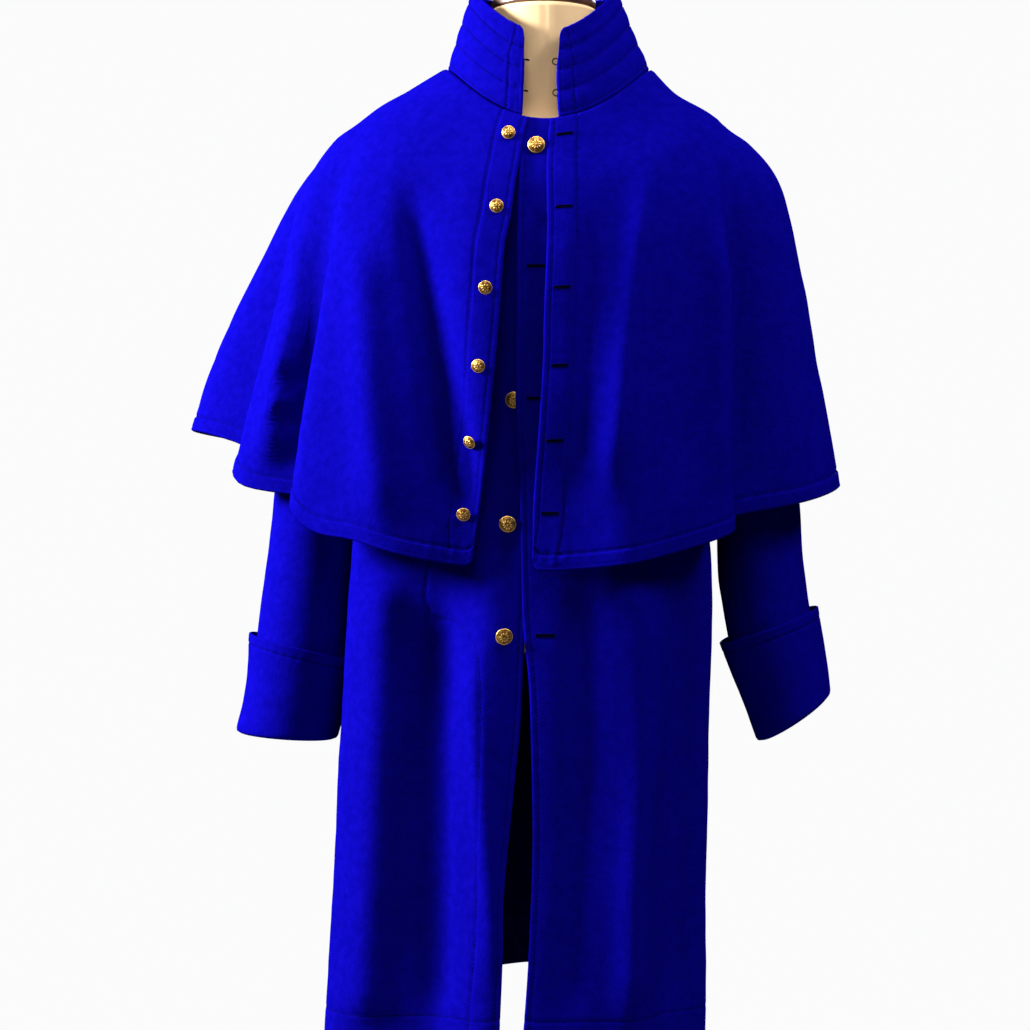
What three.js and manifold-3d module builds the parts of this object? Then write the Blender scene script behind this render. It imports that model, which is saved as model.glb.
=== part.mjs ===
// A caped greatcoat of heavy wool on a limbless dress form with a stand.
// Millimetres, +Z up. The origin is on the floor, under the form's axis.
// The coat's front faces -Y and the wearer's left is at +X.
// Angles go round the form's axis: 0 is the front, positive towards +X, 180 the centre back.
import * as THREE from "three";
import { mergeVertices } from "three/addons/utils/BufferGeometryUtils.js";
import Module from "manifold-3d";

// Driving sizes
const CLOTH = 3; // one layer of heavy kersey
const SEAM = 0.36; // gap between pieces that are sewn together
const COLLAR_THICK = 5; // two layers of cloth and the canvas between them
const COLLAR_TALL = 100;
const COAT_NECK = 1200; // the distance up the coat's side at which the collar is sewn on
const CAPE_LONG = 549; // from the collar seam to the hem
const HEM_TURN = 16; // the turned-up edge of the cape
const HEM_RAISE = 1.1; // what the turned-up edge adds to the wall
const BACK_CENTRE = 180;

// Coat body: one row for each section, from the hem to the neck seam.
// `at` is the distance up the side; left and right are half widths, front and back are depths,
// and the section's height goes from zFront or zBack to zSide at its widest point.
const COAT = {
  rise: 2,
  rows: [
    { at: 0, left: 256, right: 198, front: 188, back: 214, zFront: 392, zSide: 386, zRight: 386, zBack: 412, square: 2.2 },
    { at: 160, left: 244, right: 198, front: 183, back: 200, zFront: 556, zSide: 556, zRight: 556, zBack: 570, square: 2.25 },
    { at: 340, left: 233, right: 202, front: 178, back: 184, zFront: 739, zSide: 741, zRight: 741, zBack: 748, square: 2.3 },
    { at: 520, left: 220, right: 208, front: 172, back: 166, zFront: 920, zSide: 922, zRight: 922, zBack: 926, square: 2.35 },
    { at: 685, left: 203, right: 197, front: 165, back: 147, zFront: 1080, zSide: 1085, zRight: 1085, zBack: 1090, square: 2.4 },
    { at: 830, left: 193, right: 190, front: 160, back: 143, zFront: 1215, zSide: 1232, zRight: 1232, zBack: 1240, square: 2.4 },
    { at: 885, left: 195, right: 194, front: 155, back: 144, zFront: 1266, zSide: 1286, zRight: 1286, zBack: 1300, square: 2.4 },
    { at: 970, left: 206, right: 206, front: 148, back: 145, zFront: 1330, zSide: 1374, zRight: 1374, zBack: 1385, square: 2.35 },
    { at: 1056, left: 219, right: 219, front: 139, back: 139, zFront: 1382, zSide: 1460, zRight: 1458, zBack: 1440, square: 2.25 },
    { at: 1090, left: 205, right: 203, front: 133, back: 133, zFront: 1400, zSide: 1488, zRight: 1484, zBack: 1462, square: 2.15 },
    { at: 1142, left: 162, right: 159, front: 118, back: 114, zFront: 1432, zSide: 1515, zRight: 1510, zBack: 1500, square: 2.05 },
    { at: 1200, left: 116, right: 128, front: 101, back: 91, zFront: 1468, zSide: 1543, zRight: 1543, zBack: 1548, square: 2 },
  ],
  // A row for each soft fold: full below `low`, gone above `high`.
  folds: [
    { name: "right front roll", angle: -66, wide: 13, out: 29, low: 620, high: 860, lean: 0 },
    { name: "right front trough", angle: -41, wide: 11, out: -15, low: 420, high: 700, lean: 5 },
    { name: "right front ridge", angle: -20, wide: 7, out: 7, low: 420, high: 620, lean: -3 },
    { name: "left front ridge", angle: 30, wide: 8, out: 10, low: 420, high: 660, lean: -6 },
    { name: "left front trough", angle: 49, wide: 9, out: -10, low: 300, high: 640, lean: 0 },
    { name: "left side ridge", angle: 66, wide: 8, out: 8, low: 440, high: 780, lean: -4 },
    { name: "left side trough", angle: 81, wide: 7, out: -14, low: 480, high: 760, lean: 0 },
    { name: "right back trough", angle: -122, wide: 10, out: -16, low: 300, high: 640, lean: -4 },
    { name: "right back ridge", angle: -142, wide: 10, out: 10, low: 300, high: 640, lean: 3 },
    { name: "right vent trough", angle: -164, wide: 8, out: -12, low: 260, high: 600, lean: 0 },
    { name: "left vent trough", angle: 160, wide: 9, out: -10, low: 240, high: 560, lean: 2 },
    { name: "left back ridge", angle: 138, wide: 11, out: 12, low: 300, high: 640, lean: -3 },
    { name: "left back trough", angle: 116, wide: 9, out: -13, low: 300, high: 640, lean: 4 },
  ],
};

// Cape: `at` is the distance from the collar seam down the cloth.
const CAPE = {
  rows: [
    { at: 0, left: 119, right: 131, front: 105, back: 94, zFront: 1469, zSide: 1544, zRight: 1544, zBack: 1549,
      square: 2, rise: 2, riseRight: 2 },
    { at: 60, left: 168, right: 165, front: 123, back: 118, zFront: 1430, zSide: 1516, zRight: 1511, zBack: 1500,
      square: 2.05, rise: 2, riseRight: 2 },
    { at: 130, left: 229, right: 224, front: 147, back: 145, zFront: 1382, zSide: 1482, zRight: 1477, zBack: 1447,
      square: 2.2, rise: 2, riseRight: 2 },
    { at: 218, left: 292, right: 283, front: 166, back: 166, zFront: 1280, zSide: 1413, zRight: 1410, zBack: 1352,
      square: 2.25, rise: 2.2, riseRight: 2 },
    { at: 354, left: 335, right: 310, front: 178, back: 186, zFront: 1138, zSide: 1293, zRight: 1284, zBack: 1216,
      square: 2.2, rise: 2.4, riseRight: 2 },
    { at: 455, left: 366, right: 328, front: 184, back: 202, zFront: 1034, zSide: 1204, zRight: 1174, zBack: 1117,
      square: 2.1, rise: 2.5, riseRight: 1.9 },
    { at: 549, left: 392, right: 353, front: 189, back: 216, zFront: 937, zSide: 1118, zRight: 1040, zBack: 1026,
      square: 2, rise: 2.5, riseRight: 1.85 },
  ],
  // A row for each flute of the cape: full at the hem, gone at `start`. `drop` is how much lower it hangs.
  folds: [
    { name: "right front edge", angle: -22, wide: 8, out: 8, start: 150, lean: 0 },
    { name: "right soft trough", angle: -26, wide: 8, out: -14, start: 40, lean: -22 },
    { name: "right front roll", angle: -47, wide: 11, out: 16, start: 60, lean: -4 },
    { name: "first flute", angle: -64, wide: 8, out: 3, start: 120, lean: -2, drop: 24 },
    { name: "first deep trough", angle: -76, wide: 5, out: -74, start: 120, lean: 4, drop: 22 },
    { name: "second flute", angle: -84, wide: 8, out: -8, start: 140, lean: 2, drop: 66 },
    { name: "second deep trough", angle: -92, wide: 3.6, out: -54, start: 150, lean: 2, drop: 14 },
    { name: "third flute", angle: -100, wide: 7.5, out: 68, start: 120, lean: 0 },
    { name: "right back trough", angle: -117, wide: 7, out: -40, start: 130, lean: 2 },
    { name: "right back flute", angle: -133, wide: 8, out: 20, start: 170, lean: -3 },
    { name: "right inner trough", angle: -151, wide: 8, out: -26, start: 150, lean: 0 },
    { name: "centre back flute", angle: -176, wide: 12, out: 10, start: 180, lean: 0 },
    { name: "left inner trough", angle: 154, wide: 8, out: -28, start: 170, lean: 3 },
    { name: "left back flute", angle: 134, wide: 9, out: 18, start: 150, lean: 0 },
    { name: "left back trough", angle: 114, wide: 7, out: -34, start: 130, lean: -2 },
    { name: "left side flute", angle: 80, wide: 8, out: 14, start: 130, lean: 0 },
    { name: "left deep trough", angle: 65, wide: 5.5, out: -52, start: 110, lean: 3 },
    { name: "left front ridge", angle: 26, wide: 9, out: 12, start: 160, lean: 0 },
  ],
};

// How far the left front's edge stands over the right front: most where it lies on hidden buttons.
const LAP = [
  { z: 392, out: 4 }, { z: 800, out: 4 }, { z: 980, out: 6 }, { z: 1080, out: 13.4 }, { z: 1200, out: 14 },
  { z: 1300, out: 14.4 }, { z: 1350, out: 11 }, { z: 1420, out: 5 }, { z: 1470, out: 4 },
];

// Front edges: how far each edge lies from the middle, at a height.
const COAT_EDGE_LEFT = [
  { z: 392, x: -26 }, { z: 490, x: -19 }, { z: 617, x: -14 }, { z: 708, x: -15 }, { z: 804, x: -18 },
  { z: 880, x: -25 }, { z: 1035, x: -29 }, { z: 1107, x: -33 }, { z: 1247, x: -33 }, { z: 1343, x: -32 },
  { z: 1470, x: -27 },
];
const COAT_EDGE_RIGHT = [
  { z: 392, x: -54 }, { z: 491, x: -50 }, { z: 560, x: -49 }, { z: 696, x: -36 }, { z: 756, x: -30 },
  { z: 829, x: -26 }, { z: 990, x: -19 }, { z: 1130, x: -12 }, { z: 1280, x: 2 }, { z: 1470, x: 17 },
];
const CAPE_EDGE_RIGHT = [
  { z: 937, x: -84 }, { z: 1001, x: -77 }, { z: 1059, x: -70 }, { z: 1129, x: -63 }, { z: 1224, x: -54 },
  { z: 1306, x: -48 }, { z: 1342, x: -41 }, { z: 1392, x: -34 }, { z: 1438, x: -27 }, { z: 1470, x: -20 },
];
const CAPE_EDGE_LEFT = [
  { z: 937, x: -15 }, { z: 1012, x: -13 }, { z: 1082, x: -8 }, { z: 1176, x: -2 }, { z: 1224, x: -1 },
  { z: 1325, x: 3 }, { z: 1407, x: 3 }, { z: 1470, x: 7 },
];
const COLLAR_EDGE_RIGHT = [{ at: 0, x: -28 }, { at: 50, x: -26 }, { at: 100, x: -24 }];
const COLLAR_EDGE_LEFT = [{ at: 0, x: 18 }, { at: 50, x: 16 }, { at: 100, x: 18 }];
const CAPE_CORNER = 12; // radius of the cape's lower front corners
const COLLAR_CORNER = 12; // radius of the collar's upper front corners

// Seams of the coat body
const SIDE_SEAM = [{ z: 0, x: 106 }, { z: 885, x: 102 }, { z: 1056, x: 96 }, { z: 1200, x: 92 }];
const ARMHOLE = { z: 1371, tall: 95, deep: 70 };

// Sleeves: the outer and the inner line of the arm, one row for each section from the armhole down.
const SLEEVE_LEFT = [
  { outX: 229, outZ: 1461, inX: 197, inZ: 1270, y: 0, deep: 70 },
  { outX: 253, outZ: 1436, inX: 199, inZ: 1262, y: 0, deep: 71 },
  { outX: 274, outZ: 1394, inX: 201, inZ: 1250, y: 0, deep: 71 },
  { outX: 287, outZ: 1340, inX: 203, inZ: 1230, y: 1, deep: 70 },
  { outX: 297, outZ: 1265, inX: 204, inZ: 1192, y: 3, deep: 67 },
  { outX: 305, outZ: 1180, inX: 206, inZ: 1136, y: 5, deep: 64 },
  { outX: 310, outZ: 1085, inX: 209, inZ: 1062, y: 6, deep: 62 },
  { outX: 314, outZ: 1000, inX: 212, inZ: 985, y: 3, deep: 61 },
  { outX: 319, outZ: 930, inX: 216, inZ: 912, y: -4, deep: 60 },
  { outX: 328, outZ: 862, inX: 228, inZ: 836, y: -12, deep: 59 },
  { outX: 335, outZ: 826, inX: 243, inZ: 788, y: -17, deep: 57 },
  { outX: 340, outZ: 796, inX: 262, inZ: 742, y: -22, deep: 55 },
];
const SLEEVE_RIGHT = [
  { outX: 229, outZ: 1461, inX: 197, inZ: 1270, y: 0, deep: 70 },
  { outX: 253, outZ: 1436, inX: 199, inZ: 1262, y: 0, deep: 71 },
  { outX: 274, outZ: 1394, inX: 201, inZ: 1250, y: 0, deep: 71 },
  { outX: 288, outZ: 1340, inX: 203, inZ: 1230, y: 1, deep: 70 },
  { outX: 300, outZ: 1265, inX: 206, inZ: 1192, y: 4, deep: 67 },
  { outX: 313, outZ: 1180, inX: 212, inZ: 1138, y: 8, deep: 65 },
  { outX: 325, outZ: 1085, inX: 220, inZ: 1064, y: 10, deep: 63 },
  { outX: 333, outZ: 1000, inX: 227, inZ: 987, y: 10, deep: 62 },
  { outX: 341, outZ: 930, inX: 233, inZ: 916, y: 8, deep: 62 },
  { outX: 350, outZ: 862, inX: 239, inZ: 846, y: 4, deep: 61 },
  { outX: 357, outZ: 800, inX: 246, inZ: 788, y: 0, deep: 60 },
  { outX: 367, outZ: 746, inX: 260, inZ: 737, y: -4, deep: 59 },
];
const CUFF_LEFT = [
  { outX: 335, outZ: 889, inX: 215, inZ: 843, y: -10, deep: 71 },
  { outX: 340, outZ: 850, inX: 230, inZ: 803, y: -14, deep: 66.5 },
  { outX: 345, outZ: 815, inX: 247, inZ: 762, y: -18, deep: 63.5 },
  { outX: 348, outZ: 786, inX: 259, inZ: 726, y: -22, deep: 62 },
];
const CUFF_RIGHT = [
  { outX: 361, outZ: 856, inX: 232, inZ: 824, y: 4, deep: 72 },
  { outX: 362, outZ: 818, inX: 238, inZ: 790, y: 2, deep: 69 },
  { outX: 367, outZ: 778, inX: 244, inZ: 758, y: -1, deep: 67 },
  { outX: 376, outZ: 738, inX: 252, inZ: 728, y: -4, deep: 66 },
];
const FRONT_SLEEVE_SEAM = 232; // degrees round the sleeve from its outer line, through the front
const BACK_SLEEVE_SEAM = 118;

// Collar: the outer surface at the seam and at the top edge
const COLLAR = {
  rise: 2,
  rows: [
    { at: 0, left: 117.5, right: 129.5, front: 103, back: 92.5, zFront: 1469.6, zSide: 1544.8, zBack: 1549.8, square: 2 },
    { at: 50, left: 103, right: 109, front: 92, back: 83, zFront: 1522, zSide: 1591, zBack: 1597, square: 2 },
    { at: COLLAR_TALL, left: 89, right: 91, front: 82, back: 77, zFront: 1576, zSide: 1638, zBack: 1645, square: 2 },
  ],
  folds: [],
};
const FASTENER_HEIGHTS = [30, 66]; // up the collar
const WIRE = 0.75; // radius of the hooks' and eyes' wire
const EYE_RADIUS = 3.9;
const HOOK = [ // past the collar's edge, and out from the wire's lying place
  { past: -9, out: 0 }, { past: 3, out: 0 }, { past: 6.2, out: 0.7 }, { past: 6.6, out: 2.6 }, { past: 3.4, out: 3.1 },
];
const STITCH_HEIGHTS = [5, 32, 58, 84]; // rows of stitching along the collar, up from its seam
const STITCH_SINK = 1.2; // how far a stitched row draws the wall in

// Buttons
const COAT_BUTTON = { radius: 10, dome: 4.6 };
const CAPE_BUTTON = { radius: 8, dome: 3.8 };
const SHANK = { radius: 1.8, long: 3.6 };
const CAPE_BUTTONS = [ // heights, and how far each is pressed down to the flat facets, or lifted off them
  { z: 1447, press: 0 }, { z: 1356, press: 0.4 }, { z: 1261, press: 0.5 }, { z: 1171, press: 1 },
  { z: 1085, press: 0.45 }, { z: 1002, press: -1.42 },
];
const COAT_BUTTONS = [ // heights, and distances from the middle
  { z: 1432, x: -10, over: true }, { z: 1287, x: -22, over: false }, { z: 1134, x: -36, over: false },
  { z: 991, x: -43, over: false }, { z: 862, x: -48, over: false },
];
const CAPE_BUTTON_IN = 17; // from the cape's front edge
const BUTTON_DROOP = 22; // degrees that a button hangs down on its shank

// Dress form and stand
const FORM_CLEAR = 1.85; // from the coat's inside to the form's shoulders
const FORM_TO_COAT = 500; // from a distance up the form to the same place on the coat
const FORM = {
  rise: 2,
  rows: [
    { at: 0, left: 150, right: 150, front: 104, back: 104, zFront: 838, zSide: 838, zBack: 838, square: 2.1 },
    { at: 30, left: 168, right: 168, front: 118, back: 118, zFront: 872, zSide: 872, zBack: 872, square: 2.15 },
    { at: 90, left: 172, right: 172, front: 124, back: 124, zFront: 935, zSide: 935, zBack: 935, square: 2.2 },
    { at: 230, left: 146, right: 146, front: 108, back: 102, zFront: 1078, zSide: 1078, zBack: 1078, square: 2.2 },
    { at: 380, left: 170, right: 170, front: 128, back: 116, zFront: 1225, zSide: 1235, zBack: 1235, square: 2.3 },
    { at: 470, left: 184, right: 184, front: 130, back: 124, zFront: 1300, zSide: 1345, zBack: 1325, square: 2.3 },
    { at: 560, left: 200, right: 200, front: 122, back: 124, zFront: 1365, zSide: 1440, zBack: 1410, square: 2.25 },
    { at: 590, left: 196, right: 196, front: 116, back: 119, zFront: 1384, zSide: 1474, zBack: 1440, square: 2.15 },
    { at: 645, left: 158, right: 158, front: 101, back: 102, zFront: 1418, zSide: 1502.6, zBack: 1480, square: 2.05 },
    { at: 700, left: 110, right: 110, front: 84, back: 80, zFront: 1450, zSide: 1532.4, zBack: 1522, square: 2 },
    { at: 735, left: 76, right: 76, front: 70, back: 68, zFront: 1476, zSide: 1552, zBack: 1548, square: 2 },
    { at: 760, left: 66, right: 66, front: 66, back: 66, zFront: 1516, zSide: 1570, zBack: 1570, square: 2 },
    { at: 810, left: 65, right: 65, front: 65, back: 65, zFront: 1615, zSide: 1615, zBack: 1615, square: 2 },
  ],
  folds: [],
};
const NECK_CAP = { radius: 64, tall: 16, knob: 15 };
const POLE_RADIUS = 14;
const BASE = { radius: 200, edge: 10, hub: 34, hubTall: 60 };

const wasm = await Module();
wasm.setup();

const rad = THREE.MathUtils.degToRad;
const DIRECTION_STEP = 0.05;

/** 0 below a, 1 above b, smooth between them. */
function ease(a, b, t) {
  const u = Math.min(1, Math.max(0, (t - a) / (b - a)));
  return u * u * (3 - 2 * u);
}

/** A smooth curve through one column of a table, read at `t` in the table's `key` column. */
function column(rows, key, name, t) {
  const last = rows.length - 1;
  const u = Math.min(rows[last][key], Math.max(rows[0][key], t));
  let i = 0;
  while (i < last - 1 && u > rows[i + 1][key]) i += 1;
  const slope = (k) => {
    const a = rows[Math.max(0, k - 1)];
    const b = rows[Math.min(last, k + 1)];
    return (b[name] - a[name]) / (b[key] - a[key]);
  };
  const step = rows[i + 1][key] - rows[i][key];
  const w = (u - rows[i][key]) / step;
  return (
    (2 * w ** 3 - 3 * w ** 2 + 1) * rows[i][name] +
    (w ** 3 - 2 * w ** 2 + w) * step * slope(i) +
    (3 * w ** 2 - 2 * w ** 3) * rows[i + 1][name] +
    (w ** 3 - w ** 2) * step * slope(i + 1)
  );
}

/** An angle brought to between -180 and 180 degrees. */
function turned(angle) {
  return ((((angle + 180) % 360) + 360) % 360) - 180;
}

/** What the folds add up to at an angle and a distance along the sheet: `out`, or `drop`. */
function foldSum(sheet, name, angle, at) {
  let sum = 0;
  for (const f of sheet.folds) {
    const grown = f.start === undefined
      ? 1 - ease(f.low, f.high, at)
      : ease(f.start, CAPE_LONG, at) ** 0.8;
    const off = turned(angle - f.angle - f.lean * (1 - grown)) / f.wide;
    sum += (f[name] ?? 0) * grown * Math.exp(-off * off);
  }
  return sum;
}

/** A point of a sheet's outer face. */
function point(sheet, angle, at) {
  const own = ownPoint(sheet, angle, at);
  const share = sheet.over ? sheet.share(at) : 0;
  if (!share) return own;
  const along = sheet.along(at);
  return own.lerp(point(sheet.over, angle, along).addScaledVector(normal(sheet.over, angle, along), sheet.stands), share);
}

/** A point from a sheet's own table, its folds and its lift. */
function ownPoint(sheet, angle, at) {
  const a = turned(angle);
  const read = (name) => column(sheet.rows, "at", name, at);
  const half = read(a < 0 ? "left" : "right");
  const deep = read(Math.abs(a) < 90 ? "front" : "back");
  const n = read("square");
  const s = Math.sin(rad(a));
  const c = Math.cos(rad(a));
  const base = ((Math.abs(s) / half) ** n + (Math.abs(c) / deep) ** n) ** (-1 / n);
  const rise = sheet.rise ?? read(a > 0 ? "riseRight" : "rise");
  const side = Math.min(1, Math.abs(base * s) / half) ** rise;
  const zSide = read(a > 0 && sheet.rows[0].zRight !== undefined ? "zRight" : "zSide");
  const zEnd = read(Math.abs(a) < 90 ? "zFront" : "zBack");
  const r = base + foldSum(sheet, "out", a, at) + (sheet.lift ? sheet.lift(a, at) : 0);
  return new THREE.Vector3(r * s, -r * c, zEnd + (zSide - zEnd) * side - foldSum(sheet, "drop", a, at));
}

/** The outward normal of a sheet. */
function normal(sheet, angle, at) {
  const across = point(sheet, angle + DIRECTION_STEP, at).sub(point(sheet, angle - DIRECTION_STEP, at));
  const along = point(sheet, angle, at + DIRECTION_STEP).sub(point(sheet, angle, at - DIRECTION_STEP));
  const n = across.cross(along).normalize();
  const radial = new THREE.Vector3(Math.sin(rad(angle)), -Math.cos(rad(angle)), 0.5);
  return n.dot(radial) < 0 ? n.negate() : n;
}

/** Where a sheet has a given height and a given x or y, found from a first guess by Newton's method. */
function locate(sheet, axis, value, z, guess) {
  let { angle, at } = guess;
  for (let k = 0; k < 25; k += 1) {
    const p = point(sheet, angle, at);
    const across = point(sheet, angle + DIRECTION_STEP, at).sub(p).divideScalar(DIRECTION_STEP);
    const along = point(sheet, angle, at + DIRECTION_STEP).sub(p).divideScalar(DIRECTION_STEP);
    const off = value - p[axis];
    const up = z - p.z;
    const det = across[axis] * along.z - along[axis] * across.z;
    angle += THREE.MathUtils.clamp((off * along.z - up * along[axis]) / det, -8, 8);
    at += THREE.MathUtils.clamp((up * across[axis] - off * across.z) / det, -40, 40);
  }
  return { angle, at };
}

/** The angle at which a sheet has a given x near the front, at a distance along it. */
function angleAtX(sheet, x, at) {
  let angle = 0;
  for (let k = 0; k < 12; k += 1) {
    const p = point(sheet, angle, at);
    const r = Math.hypot(p.x, p.y);
    angle = THREE.MathUtils.radToDeg(Math.asin(x / r));
  }
  return angle;
}

/** The angle of a front edge, whose distance from the middle is tabled by height. */
function edgeAngle(sheet, edge, at) {
  const z = column(sheet.rows, "at", "zFront", at);
  return angleAtX(sheet, column(edge, "z", "x", z), at);
}

/** A solid from a grid of outer and inner points. `closed` joins the last column to the first. */
function wall(outer, inner, closed = false) {
  const rows = outer.length;
  const cols = outer[0].length;
  const positions = [];
  const index = [];
  for (const grid of [outer, inner])
    for (const row of grid) for (const p of row) positions.push(p.x, p.y, p.z);
  const at = (side, i, j) => (side * rows + i) * cols + (j % cols);
  const quad = (a, b, c, d) => index.push(a, b, c, a, c, d);
  const spans = closed ? cols : cols - 1;
  for (let i = 0; i < rows - 1; i += 1)
    for (let j = 0; j < spans; j += 1) {
      quad(at(0, i, j), at(0, i, j + 1), at(0, i + 1, j + 1), at(0, i + 1, j));
      quad(at(1, i, j), at(1, i + 1, j), at(1, i + 1, j + 1), at(1, i, j + 1));
    }
  for (let j = 0; j < spans; j += 1) {
    quad(at(0, 0, j), at(1, 0, j), at(1, 0, j + 1), at(0, 0, j + 1));
    quad(at(0, rows - 1, j), at(0, rows - 1, j + 1), at(1, rows - 1, j + 1), at(1, rows - 1, j));
  }
  if (!closed)
    for (let i = 0; i < rows - 1; i += 1) {
      quad(at(0, i, 0), at(0, i + 1, 0), at(1, i + 1, 0), at(1, i, 0));
      quad(at(0, i, cols - 1), at(1, i, cols - 1), at(1, i + 1, cols - 1), at(0, i + 1, cols - 1));
    }
  return outward(positions, index);
}

/** A geometry whose faces point out, whichever way its grid ran. */
function outward(positions, index) {
  let volume = 0;
  const v = (k) => new THREE.Vector3().fromArray(positions, 3 * k);
  for (let k = 0; k < index.length; k += 3)
    volume += v(index[k]).dot(v(index[k + 1]).cross(v(index[k + 2])));
  if (volume < 0)
    for (let k = 0; k < index.length; k += 3) [index[k], index[k + 1]] = [index[k + 1], index[k]];
  const geometry = new THREE.BufferGeometry();
  geometry.setAttribute("position", new THREE.Float32BufferAttribute(positions, 3));
  geometry.setIndex(index);
  return geometry;
}

/** Evenly spaced numbers from a to b. */
function spread(a, b, count) {
  return Array.from({ length: count + 1 }, (_, k) => a + ((b - a) * k) / count);
}

/** A panel of a sheet: `ats` are its rows and `angles(at)` gives the angles of each row. */
function panel(sheet, ats, angles, thick = () => 0) {
  const outer = [];
  const inner = [];
  for (const row of ats) {
    const list = angles(row);
    const places = list.map((item) => (typeof item === "number" ? { angle: item, at: row } : item));
    outer.push(places.map((q) =>
      point(sheet, q.angle, q.at).addScaledVector(normal(sheet, q.angle, q.at), thick(q.angle, q.at))));
    inner.push(places.map((q) =>
      point(sheet, q.angle, q.at).addScaledVector(normal(sheet, q.angle, q.at), -(sheet.thick ?? CLOTH))));
  }
  return wall(outer, inner);
}

/** A geometry as a manifold-3d solid. */
function solid(geometry) {
  const bare = geometry.clone();
  for (const name of ["normal", "uv"]) bare.deleteAttribute(name);
  const merged = mergeVertices(bare, 1e-4);
  return new wasm.Manifold(new wasm.Mesh({
    numProp: 3,
    vertProperties: merged.attributes.position.array,
    triVerts: new Uint32Array(merged.index.array),
  }));
}

/** A manifold-3d solid as a geometry. */
function geometryOf(body) {
  const mesh = body.getMesh();
  const geometry = new THREE.BufferGeometry();
  geometry.setAttribute("position", new THREE.Float32BufferAttribute(mesh.vertProperties, 3));
  geometry.setIndex(new THREE.BufferAttribute(mesh.triVerts, 1));
  return geometry;
}

// Materials
const wool = new THREE.MeshStandardMaterial({ color: "#1212c8", roughness: 0.92 });
const brass = new THREE.MeshStandardMaterial({ color: "#c99a3c", roughness: 0.3, metalness: 1 });
const wire = new THREE.MeshStandardMaterial({ color: "#2a2624", roughness: 0.45, metalness: 1 });
const linen = new THREE.MeshStandardMaterial({ color: "#e2cfa6", roughness: 0.85 });
const timber = new THREE.MeshStandardMaterial({ color: "#8a4a28", roughness: 0.5 });
const iron = new THREE.MeshStandardMaterial({ color: "#2b2b2d", roughness: 0.55, metalness: 0.6 });

const coat = new THREE.Group();

/** Adds a named piece to the coat. */
function add(name, geometry, material, place) {
  const mesh = new THREE.Mesh(geometry, material);
  mesh.name = name;
  if (place) {
    mesh.position.copy(place.at);
    mesh.quaternion.setFromUnitVectors(new THREE.Vector3(0, 0, 1), place.facing);
  }
  coat.add(mesh);
}

/** How far the lap lifts the cloth at an angle and a height. */
function lapLift(angle, z) {
  return column(LAP, "z", "out", z) * (1 - ease(6, 38, angle)) * ease(-50, -24, angle);
}

/** The coat body as the left front wears it, lifted clear of the right one. */
const COAT_OVER = { ...COAT, lift: (angle, at) => lapLift(angle, column(COAT.rows, "at", "zFront", at)) };

/** Half of a seam's gap as an angle at a radius. */
function gapAngle(sheet, angle, at) {
  const p = point(sheet, angle, at);
  return THREE.MathUtils.radToDeg(SEAM / 2 / Math.hypot(p.x, p.y));
}

/** The cape as it hangs: it rests on the coat's shoulders, then goes by its own table. */
const CAPE_WORN = {
  ...CAPE,
  over: COAT_OVER,
  along: (at) => COAT_NECK - 3 - at,
  share: (at) => 1 - ease(80, 165, at),
  stands: CLOTH + 1.6,
  lift: (angle, at) => lapLift(angle, column(CAPE.rows, "at", "zFront", at)) * (1 - ease(330, 500, at)),
};

const BODY_ROWS = [
  0, 110, 220, 330, 420, 510, 590, 670, 750, 820, 885, 940, 995, 1035, 1060, 1080, 1100, 1122, 1148, 1174, 1200];
const FRONT_COLUMNS = 13;
const BACK_COLUMNS = 9;

/** A prism through the side of the body where the sleeve is set in. */
function armholeCutter(side) {
  const outline = new THREE.Shape();
  sleeveTurns().forEach((turn, k) => {
    const p = armholePoint(turn, 0);
    if (k) outline.lineTo(p.y, p.z);
    else outline.moveTo(p.y, p.z);
  });
  outline.closePath();
  const prism = new THREE.ExtrudeGeometry(outline, { depth: 140, bevelEnabled: false, steps: 1 });
  const frame = new THREE.Matrix4().makeBasis(
    new THREE.Vector3(0, 1, 0), new THREE.Vector3(0, 0, 1), new THREE.Vector3(1, 0, 0));
  prism.applyMatrix4(frame);
  prism.translate(side > 0 ? 120 : -260, 0, 0);
  return solid(prism);
}

/** A point of the armhole's outline, seen from the side, drawn in by `inset`. */
function armholePoint(turn, inset) {
  return {
    y: (ARMHOLE.deep - inset) * Math.sin(rad(turn)),
    z: ARMHOLE.z + (ARMHOLE.tall - inset) * Math.cos(rad(turn)),
  };
}

/** The coat's two fronts and two backs, with the armholes cut out of them. */
function makeBody() {
  const seamAngle = (at) => column(SIDE_SEAM, "z", "x", at);
  for (const side of [-1, 1]) {
    const label = side < 0 ? "right" : "left";
    const sheet = side < 0 ? COAT : COAT_OVER;
    const edge = side < 0 ? COAT_EDGE_RIGHT : COAT_EDGE_LEFT;
    const cutter = armholeCutter(side);
    const front = panel(sheet, BODY_ROWS, (at) => {
      const seam = side * seamAngle(at);
      return spread(edgeAngle(sheet, edge, at), seam - side * gapAngle(sheet, seam, at), FRONT_COLUMNS);
    });
    const back = panel(COAT, BODY_ROWS, (at) => {
      const seam = side * seamAngle(at);
      return spread(
        seam + side * gapAngle(COAT, seam, at),
        side * (BACK_CENTRE - gapAngle(COAT, BACK_CENTRE, at)), BACK_COLUMNS);
    });
    add(`coat_front_${label}`, geometryOf(solid(front).subtract(cutter)), wool);
    add(`coat_back_${label}`, geometryOf(solid(back).subtract(cutter)), wool);
  }
}


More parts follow.
